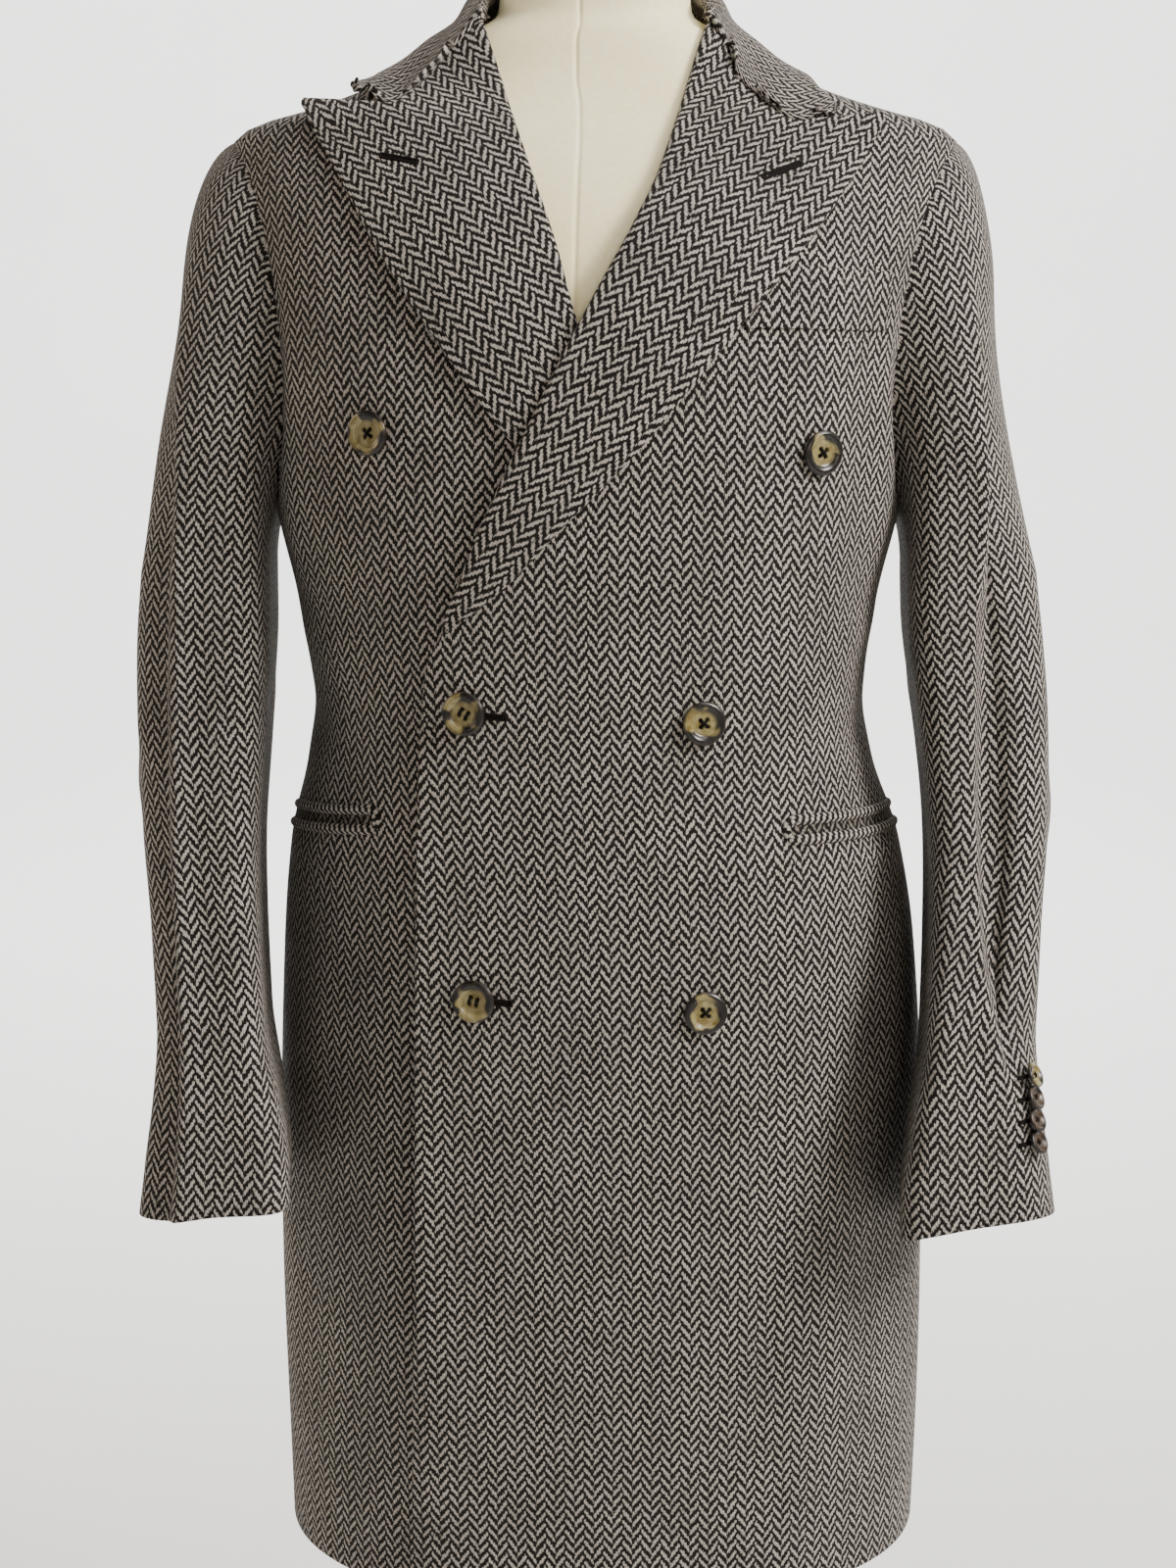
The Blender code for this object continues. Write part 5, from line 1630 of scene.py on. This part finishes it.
@dataclass
class Buttons(CoatPart):
    """The six front buttons and the four of each sleeve."""

    sleeves: Sleeves
    front: tuple[tuple[float, float, Side, Hold, float], ...] = (
        (-0.1205, 1.1440, Side.RIGHT, Hold.CROSS, 6.0),
        (0.1170, 1.1340, Side.LEFT, Hold.CROSS, -8.0),
        (-0.0685, 0.9935, Side.LEFT, Hold.BARS, -30.0),
        (0.0565, 0.9880, Side.LEFT, Hold.CROSS, 3.0),
        (-0.0655, 0.8325, Side.LEFT, Hold.BARS, -14.0),
        (0.0600, 0.8260, Side.LEFT, Hold.CROSS, -4.0),
    )
    radius: float = BUTTON_RADIUS
    thick: float = 0.0042
    gap: float = 0.0008
    cuff_radius: float = CUFF_BUTTON_RADIUS
    cuff_thick: float = 0.0026
    cuff_gap: float = 0.0003
    cuff_first: float = 0.737
    cuff_pitch: float = 0.0126
    cuff_count: int = 4
    cuff_tilt: float = math.radians(17)
    cuff_steps: int = 32
    cuff_spin: Span = (15.0, 22.0)
    cuff_turn: ClassVar[dict[Side, float]] = {Side.LEFT: 53, Side.RIGHT: -40}

    def cuff_z(self, number: int) -> float:
        """Return the height of a sleeve button."""
        return self.cuff_first + (number - 1) * self.cuff_pitch

    def front_button(self, number: int) -> HornButton:
        """Return one front button, just off the front it is sewn to."""
        x, z, side, hold, spin = self.front[number - 1]
        base = self.torso.front_point(side, x, z, CLOTH)
        place = self.torso.front_point(side, x, z, CLOTH + self.gap)
        name = f"button_front_{number}"
        return HornButton(name, place, place - base, self.radius, self.thick, hold, spin)

    def cuff_button(self, side: Side, number: int) -> HornButton:
        """Return one sleeve button, tipped to lie on the one below it."""
        turn, z = math.radians(self.cuff_turn[side]), self.cuff_z(number)
        turns = np.array((turn - SMALL_STEP, turn + SMALL_STEP, turn, turn, turn))
        heights = np.array((z, z, z - SMALL_STEP, z + SMALL_STEP, z))
        points = self.sleeves.ring(side, turns, heights)
        along, upward = points[1] - points[0], unit(points[3] - points[2])
        normal = unit(np.cross(upward, along)) * side.value
        rise = self.cuff_gap + self.cuff_radius * math.sin(self.cuff_tilt)
        place = points[4] + normal * rise
        tipped = normal * math.cos(self.cuff_tilt) + upward * math.sin(self.cuff_tilt)
        name = f"button_{side.word}_{number}"
        spin = self.cuff_spin[0] + self.cuff_spin[1] * number
        return HornButton(name, place, tipped, self.cuff_radius, self.cuff_thick, Hold.CROSS, spin,
                          self.cuff_steps)

    def build(self) -> None:
        """Make every button and the thread of them all."""
        threads = bmesh.new()
        for number in range(1, len(self.front) + 1):
            button = self.front_button(number)
            button.build(self.finishes.horn)
            button.sew(threads)
        for side in Side:
            for number in range(1, self.cuff_count + 1):
                button = self.cuff_button(side, number)
                # Only the top sleeve button has the lighter horn; the three below it are darker
                top = number == self.cuff_count
                button.build(self.finishes.cuff_horn if top else self.finishes.cuff_dark)
                button.sew(threads)
        finish_tubes("button_threads", threads, self.finishes.twist)


@dataclass
class Buttonholes(CoatPart):
    """Hand-worked holes: on each lapel, at the two fastened buttons, and beside the cuff buttons."""

    buttons: Buttons
    lapels: Lapels
    stitch: float = 0.0006
    thread: float = 0.00095
    half_width: float = 0.0011
    sides: int = 6
    slit_steps: int = 8
    slit_share: float = 0.8
    slit_flatness: float = 0.35
    rib: float = 0.16
    end_run: float = 1.6
    end_width: float = 3.0
    front_lift: float = 0.0002
    lapel_reach: float = 0.003
    cuff_length: float = 0.0095
    cuff_scale: float = 0.62
    cuff_lift: float = 0.0004
    cuff_half_turn: float = 0.1
    cuff_turn: ClassVar[dict[Side, float]] = {Side.LEFT: 62, Side.RIGHT: -49}
    # The two ends of each hole, seen from the front
    front_holes: tuple[tuple[Place, Place], ...] = (
        ((-0.0715, 0.9930), (-0.0475, 0.9915)),
        ((-0.0680, 0.8325), (-0.0455, 0.8315)),
    )
    lapel_holes: ClassVar[dict[Side, tuple[Place, Place]]] = {
        Side.RIGHT: ((-0.1137, 1.2865), (-0.0940, 1.2825)),
        Side.LEFT: ((0.0875, 1.2745), (0.1085, 1.2825)),
    }

    def oval(self, bm: BMesh, middle: np.ndarray, along: np.ndarray, normal: np.ndarray,
             length: float, scale: float = 1.0) -> None:
        """Add one worked hole: a ridge of close stitches round a slit."""
        half_width = self.half_width * scale
        along = unit(along - normal * float(np.dot(along, normal)))
        side = np.cross(normal, along)
        half = length / 2 - half_width
        count = 2 * round(length / self.stitch)
        turns = np.linspace(0, math.tau, count, endpoint=False)
        run = np.clip(np.cos(turns) * self.end_run, -1, 1) * half
        run = run + np.cos(turns) * half_width
        off = np.clip(np.sin(turns) * self.end_width, -1, 1) * half_width
        ribs = self.thread * scale * (1 + self.rib * np.where(np.arange(count) % 2 == 0, 1, -1))
        path = middle + run[:, None] * along + off[:, None] * side
        add_tube(bm, path, normal, ribs, THREAD_FLATNESS, self.sides, closed=True)
        slit = middle + np.linspace(-half, half, self.slit_steps)[:, None] * along
        add_tube(bm, slit, normal, half_width * self.slit_share, self.slit_flatness, self.sides)

    def on_front(self, bm: BMesh, side: Side, first: Place,
                 last: Place, out: float) -> None:
        """Add a hole on a front between two places seen from the front."""
        ends = [self.torso.front_point(side, x, z, CLOTH + out) for x, z in (first, last)]
        x, z = (first[0] + last[0]) / 2, (first[1] + last[1]) / 2
        middle = self.torso.front_point(side, x, z, CLOTH + out)
        normal = self.torso.normal(self.torso.front_turn(x, z), z)
        length = float(np.linalg.norm(ends[1] - ends[0]))
        self.oval(bm, middle, ends[1] - ends[0], normal, length)

    def on_lapel(self, bm: BMesh, side: Side, first: Place,
                 last: Place) -> None:
        """Add a hole on a lapel, at the height of its belly there."""
        x, z, step = self.lapels.layout(side)
        out = self.lapels.heights(side, z, step)
        middle = (first[0] + last[0]) / 2, (first[1] + last[1]) / 2
        weight = np.exp(-((x - middle[0]) ** 2 + (z - middle[1]) ** 2) / self.lapel_reach ** 2)
        self.on_front(bm, side, first, last, float((out * weight).sum() / weight.sum()) - CLOTH)

    def on_cuff(self, bm: BMesh, side: Side, number: int) -> None:
        """Add the hole that a sleeve button sits at, reaching ahead of the button."""
        turn, z = math.radians(self.cuff_turn[side]), self.buttons.cuff_z(number)
        turns = turn + self.cuff_half_turn * np.array((-1, 0, 1, 0))
        points = self.buttons.sleeves.ring(side, turns, np.array((z, z, z, z + SMALL_STEP)))
        along, upward = points[2] - points[0], points[3] - points[1]
        normal = unit(np.cross(upward, along)) * side.value
        middle = points[1] + normal * self.cuff_lift
        self.oval(bm, middle, along, normal, self.cuff_length, self.cuff_scale)

    def build(self) -> None:
        """Make every hole as one piece of twist."""
        bm = bmesh.new()
        for first, last in self.front_holes:
            self.on_front(bm, Side.LEFT, first, last, self.front_lift)
        for side, (first, last) in self.lapel_holes.items():
            self.on_lapel(bm, side, first, last)
        for side in Side:
            for number in range(1, self.buttons.cuff_count + 1):
                self.on_cuff(bm, side, number)
        finish_tubes("buttonholes", bm, self.finishes.twist)


@dataclass
class EdgeStitches:
    """Hand pick-stitches, short and sunk, a little in from the free edges."""

    finishes: Finishes
    inset: float = 0.0065
    pitch: float = 0.0066
    length: float = 0.0019
    radius: float = 0.00027
    sides: int = 6
    sunk: float = 0.6
    steps: int = 5

    def along(self, bm: BMesh, piece: ClothPiece) -> None:
        """Add stitches along a piece's last column, above the hem."""
        line, normals = piece.inset_line(self.inset)
        keep = line[:, 2] > HEM
        line, normals = line[keep], normals[keep]
        run = lengths_along(line, 0)
        for middle in np.arange(self.pitch, run[-1] - self.pitch, self.pitch):
            at = middle + np.linspace(-0.5, 0.5, self.steps) * self.length
            path = np.stack([np.interp(at, run, line[:, k]) for k in range(3)], axis=1)
            normal = unit(np.array([np.interp(middle, run, normals[:, k]) for k in range(3)]))
            bow = np.sin(np.linspace(0, math.pi, self.steps)) - self.sunk
            add_tube(bm, path + normal * (bow * self.radius)[:, None], normal, self.radius,
                     sides=self.sides)

    def build(self, pieces: Sequence[ClothPiece]) -> None:
        """Make all the stitches as one piece."""
        bm = bmesh.new()
        for piece in pieces:
            self.along(bm, piece)
        finish_tubes("edge_stitches", bm, self.finishes.twist)


@dataclass
class DressForm(CoatPart):
    """The limbless form: canvas over a smooth body, with its seams, and a cap on the neck."""

    inset_low: float = 0.012
    inset_high: float = 0.0021
    inset_side: float = 0.0105
    inset_z: Span = (1.050, 1.300)
    side_z: Span = (1.303, 1.330)
    shoulder_top: float = 1.360
    cap_top: float = 1.452
    cap_radius: float = 0.0530
    cap_middle_y: float = 0.0022
    cap_rounding: float = 0.006
    cap_sides: int = 96
    seam_width: float = 0.0012
    seam_depth: float = 0.0009
    seam_x: float = -0.0086
    crisp: float = 60
    # First, last and step of the columns' turns, close together at the front seam and wider round the rest
    close_turns: Spot = (-14.0, 4.1, 0.4)
    wide_turns: Spot = (7.0, 344.0, 3.0)
    # First, last and number of the rows' heights
    levels: tuple[tuple[float, float, int], ...] = (
        (0.800, 1.26, 70), (1.265, 1.360, 30), (1.363, 1.425, 22))
    neck: Table = Table(
        "z half_width front back",
        (1.360, 0.0800, 0.0505, 0.0648),
        (1.374, 0.0555, 0.0430, 0.0530),
        (1.392, 0.0535, 0.0445, 0.0510),
        (1.425, 0.0530, 0.0460, 0.0505),
    )

    def ring(self, turn: np.ndarray, z: np.ndarray) -> np.ndarray:
        """Return points of the form at turns and heights."""
        inset = lerp(self.inset_low, self.inset_high, ease(z, *self.inset_z))
        at_side = np.maximum(inset, self.inset_side * (1 - ease(z, *self.side_z)))
        above = z > self.shoulder_top
        sections = self.torso.sections
        insets = {"half_width": at_side, "front": inset, "back": inset}
        half, front, back = (
            np.where(above, self.neck.read(name, z), sections.read(name, z) - deep)
            for name, deep in insets.items())
        depth = np.where(np.cos(turn) > 0, front, back)
        radius = oval_radius(turn, half, depth, self.torso.roundness)
        middle = np.where(above, 0.0, sections.read("middle", z))
        off_seam = np.abs(radius * np.sin(turn) - np.where(np.cos(turn) > 0, self.seam_x, 0.0))
        radius = radius - self.seam_depth * np.exp(-(off_seam / self.seam_width) ** 2)
        return np.stack([middle + radius * np.sin(turn), -radius * np.cos(turn), z], axis=-1)

    def body(self) -> None:
        """Make the body up to the neck, with close columns at its front seam."""
        close = np.radians(np.arange(*self.close_turns))
        wide = np.radians(np.arange(*self.wide_turns))
        turns = np.concatenate([close, wide, math.tau + close[:1]])
        heights = np.concatenate([np.linspace(*level) for level in self.levels])
        bm = bmesh.new()
        add_grid(bm, self.ring(*np.meshgrid(turns, heights)))
        bmesh.ops.remove_doubles(bm, verts=bm.verts, dist=TURNED_WELD)
        bmesh.ops.holes_fill(bm, edges=bm.edges)
        bmesh.ops.recalc_face_normals(bm, faces=bm.faces)
        dress(new_piece("form_body_canvas", bm, self.finishes.canvas, self.crisp), "canvas", "form_body")

    def cap(self) -> None:
        """Make the padded cap on the neck, softly domed."""
        bottom = self.neck.keys[-1] + SEAM
        high = self.cap_top - bottom
        bm = bmesh.new()
        bmesh.ops.create_cone(bm, cap_ends=True, segments=self.cap_sides, radius1=self.cap_radius,
                              radius2=self.cap_radius, depth=high)
        rims = [edge for edge in bm.edges if abs(edge.verts[0].co.z - edge.verts[1].co.z) < 0.0001]
        bmesh.ops.bevel(bm, geom=rims, offset=self.cap_rounding, segments=6, profile=0.5,
                        affect="EDGES", material=-1)
        bmesh.ops.translate(bm, verts=bm.verts, vec=(0.0, self.cap_middle_y, bottom + high / 2))
        dress(new_piece("form_cap_canvas", bm, self.finishes.canvas, self.crisp), "canvas", "form_cap")


@dataclass
class Stand:
    """The steel foot and pole that carry the form."""

    finishes: Finishes
    base_radius: float = 0.170
    base_thick: float = 0.022
    base_rounding: float = 0.012
    pole_radius: float = 0.014
    top: float = 0.800
    base_sides: int = 96
    pole_sides: int = 48
    foot_chamfer: float = 0.002
    pole_chamfer: float = 0.001
    crisp: float = 35

    def turned(self, node: str, outline: Sequence[Place], steps: int) -> None:
        """Make a turned piece of steel for a node, from an outline of (radius, height)."""
        bm = spin_outline(outline, steps)
        dress(new_piece(node + "_steel", bm, self.finishes.steel, self.crisp), "steel", node)

    def build(self) -> None:
        """Make the foot with a rounded edge, and the pole."""
        turns = np.radians(np.linspace(0, 90, 9))
        r, wide, cut = self.base_rounding, self.base_radius, self.foot_chamfer
        edge = [(wide - r + r * math.cos(t), self.base_thick - r + r * math.sin(t)) for t in turns]
        foot = [(0.0, 0.0), (wide - cut, 0.0), (wide, cut), *edge, (0.0, self.base_thick)]
        self.turned("stand_base", foot, self.base_sides)
        low, high = self.base_thick + SEAM, self.top - SEAM
        wide, cut = self.pole_radius, self.pole_chamfer
        pole = [(0.0, low), (wide - cut, low), (wide, low + cut), (wide, high - cut), (wide - cut, high),
                (0.0, high)]
        self.turned("stand_pole", pole, self.pole_sides)


class SoftLight(NamedTuple):
    """A soft square light: its place, what it points at, its size, its power and its colour."""

    name: str
    place: Spot
    aim: Spot
    size: float
    power: float
    colour: str


@dataclass
class Studio:
    """The pale curved backdrop, the soft lights and the camera."""

    finishes: Finishes
    floor_radius: float = 5.0
    fillet: float = 2.5
    wall_top: float = 6.0
    wall_sides: int = 96
    camera_place: Spot = (-0.004, -1.40, 1.20)
    camera_pitch: float = 79.0
    lens: float = 54.0
    sensor: float = 36.0
    air_colour: str = "#eef0f4"
    air_strength: float = 0.07
    lights: tuple[SoftLight, ...] = (
        SoftLight("key_light", (1.90, -1.06, 2.30), (0.0, 0.0, 1.0), 0.85, 97.0, "#fffaf4"),
        SoftLight("side_light", (-2.3, 0.2, 1.8), (0.0, 0.0, 1.0), 1.0, 15.0, "#ffe0bc"),
        SoftLight("fill_light", (0.6, -3.0, 1.7), (0.0, 0.0, 0.95), 0.8, 16.0, "#ffe8cc"),
        SoftLight("top_light", (0.9, -0.5, 3.3), (0.0, 0.0, 1.2), 1.6, 37.0, "#ffffff"),
        SoftLight("wall_light", (0.0, 2.4, 4.4), (0.0, 7.5, 1.2), 3.0, 800.0, "#ffffff"),
    )

    def backdrop(self) -> None:
        """Make the floor that curves up into a wall all round."""
        turns = np.radians(np.linspace(0, 90, 16))
        far, r = self.floor_radius, self.fillet
        curve = [(far + r * math.sin(t), r * (1 - math.cos(t))) for t in turns]
        bm = spin_outline([(0.0, 0.0), *curve, (far + r, self.wall_top)], self.wall_sides)
        new_piece("studio_backdrop", bm, self.finishes.paint)

    def add_light(self, light: SoftLight) -> None:
        """Add one light."""
        lamp = bpy.data.lights.new(light.name, "AREA")
        lamp.shape = "SQUARE"
        lamp.size = light.size
        lamp.energy = light.power
        lamp.color = linear(light.colour)[:3]
        made = bpy.data.objects.new(light.name, lamp)
        made.location = light.place
        way = Vector(light.aim) - Vector(light.place)
        made.rotation_euler = way.to_track_quat("-Z", "Y").to_euler()
        bpy.context.scene.collection.objects.link(made)

    def build(self) -> None:
        """Set up the whole studio."""
        self.backdrop()
        for light in self.lights:
            self.add_light(light)
        world = bpy.data.worlds.new("studio_air")
        world.use_nodes = True
        air = world.node_tree.nodes["Background"]
        air.inputs["Color"].default_value = linear(self.air_colour)
        air.inputs["Strength"].default_value = self.air_strength
        bpy.context.scene.world = world
        camera = bpy.data.cameras.new("photo_camera")
        camera.sensor_fit = "VERTICAL"
        camera.sensor_height = self.sensor
        camera.lens = self.lens
        made = bpy.data.objects.new("photo_camera", camera)
        made.location = self.camera_place
        made.rotation_euler = (math.radians(self.camera_pitch), 0.0, 0.0)
        bpy.context.scene.collection.objects.link(made)
        bpy.context.scene.camera = made


def main() -> None:
    """Build the studio, the form and its stand, and the coat piece by piece."""
    logging.basicConfig(level=logging.INFO, format="%(name)s: %(message)s")
    finishes = make_finishes()
    torso, armhole = Torso(), Armhole()
    Studio(finishes).build()
    form = DressForm(torso, finishes)
    form.body()
    form.cap()
    Stand(finishes).build()
    panels = BodyPanels(torso, finishes, armhole)
    lapels = Lapels(torso, finishes)
    sleeves = Sleeves(torso, finishes, armhole)
    pockets = Pockets(torso, finishes)
    stitched = []
    for side in Side:
        trim = [pockets.jet(side, True), pockets.jet(side, False), pockets.mouth(side)]
        if side is Side.LEFT:
            trim.append(pockets.welt())
        front, lapel = panels.front(side), lapels.lapel(side)
        front.hang(["form_body"], trim)
        panels.back(side).hang(["form_body"])
        lapel.hang([f"front_{side.word}"])
        stitched.append(lapel)
        if side is Side.LEFT:
            stitched.append(front.below(lapels.break_z))
        for name in ("top", "under"):
            sleeves.piece(side, name).hang([f"front_{side.word}", f"back_{side.word}"])
    Collar(torso, finishes).collar().hang(["back_left", "back_right"])
    buttons = Buttons(torso, finishes, sleeves)
    buttons.build()
    Buttonholes(torso, finishes, buttons, lapels).build()
    EdgeStitches(finishes).build(stitched)


if __name__ == "__main__":
    main()
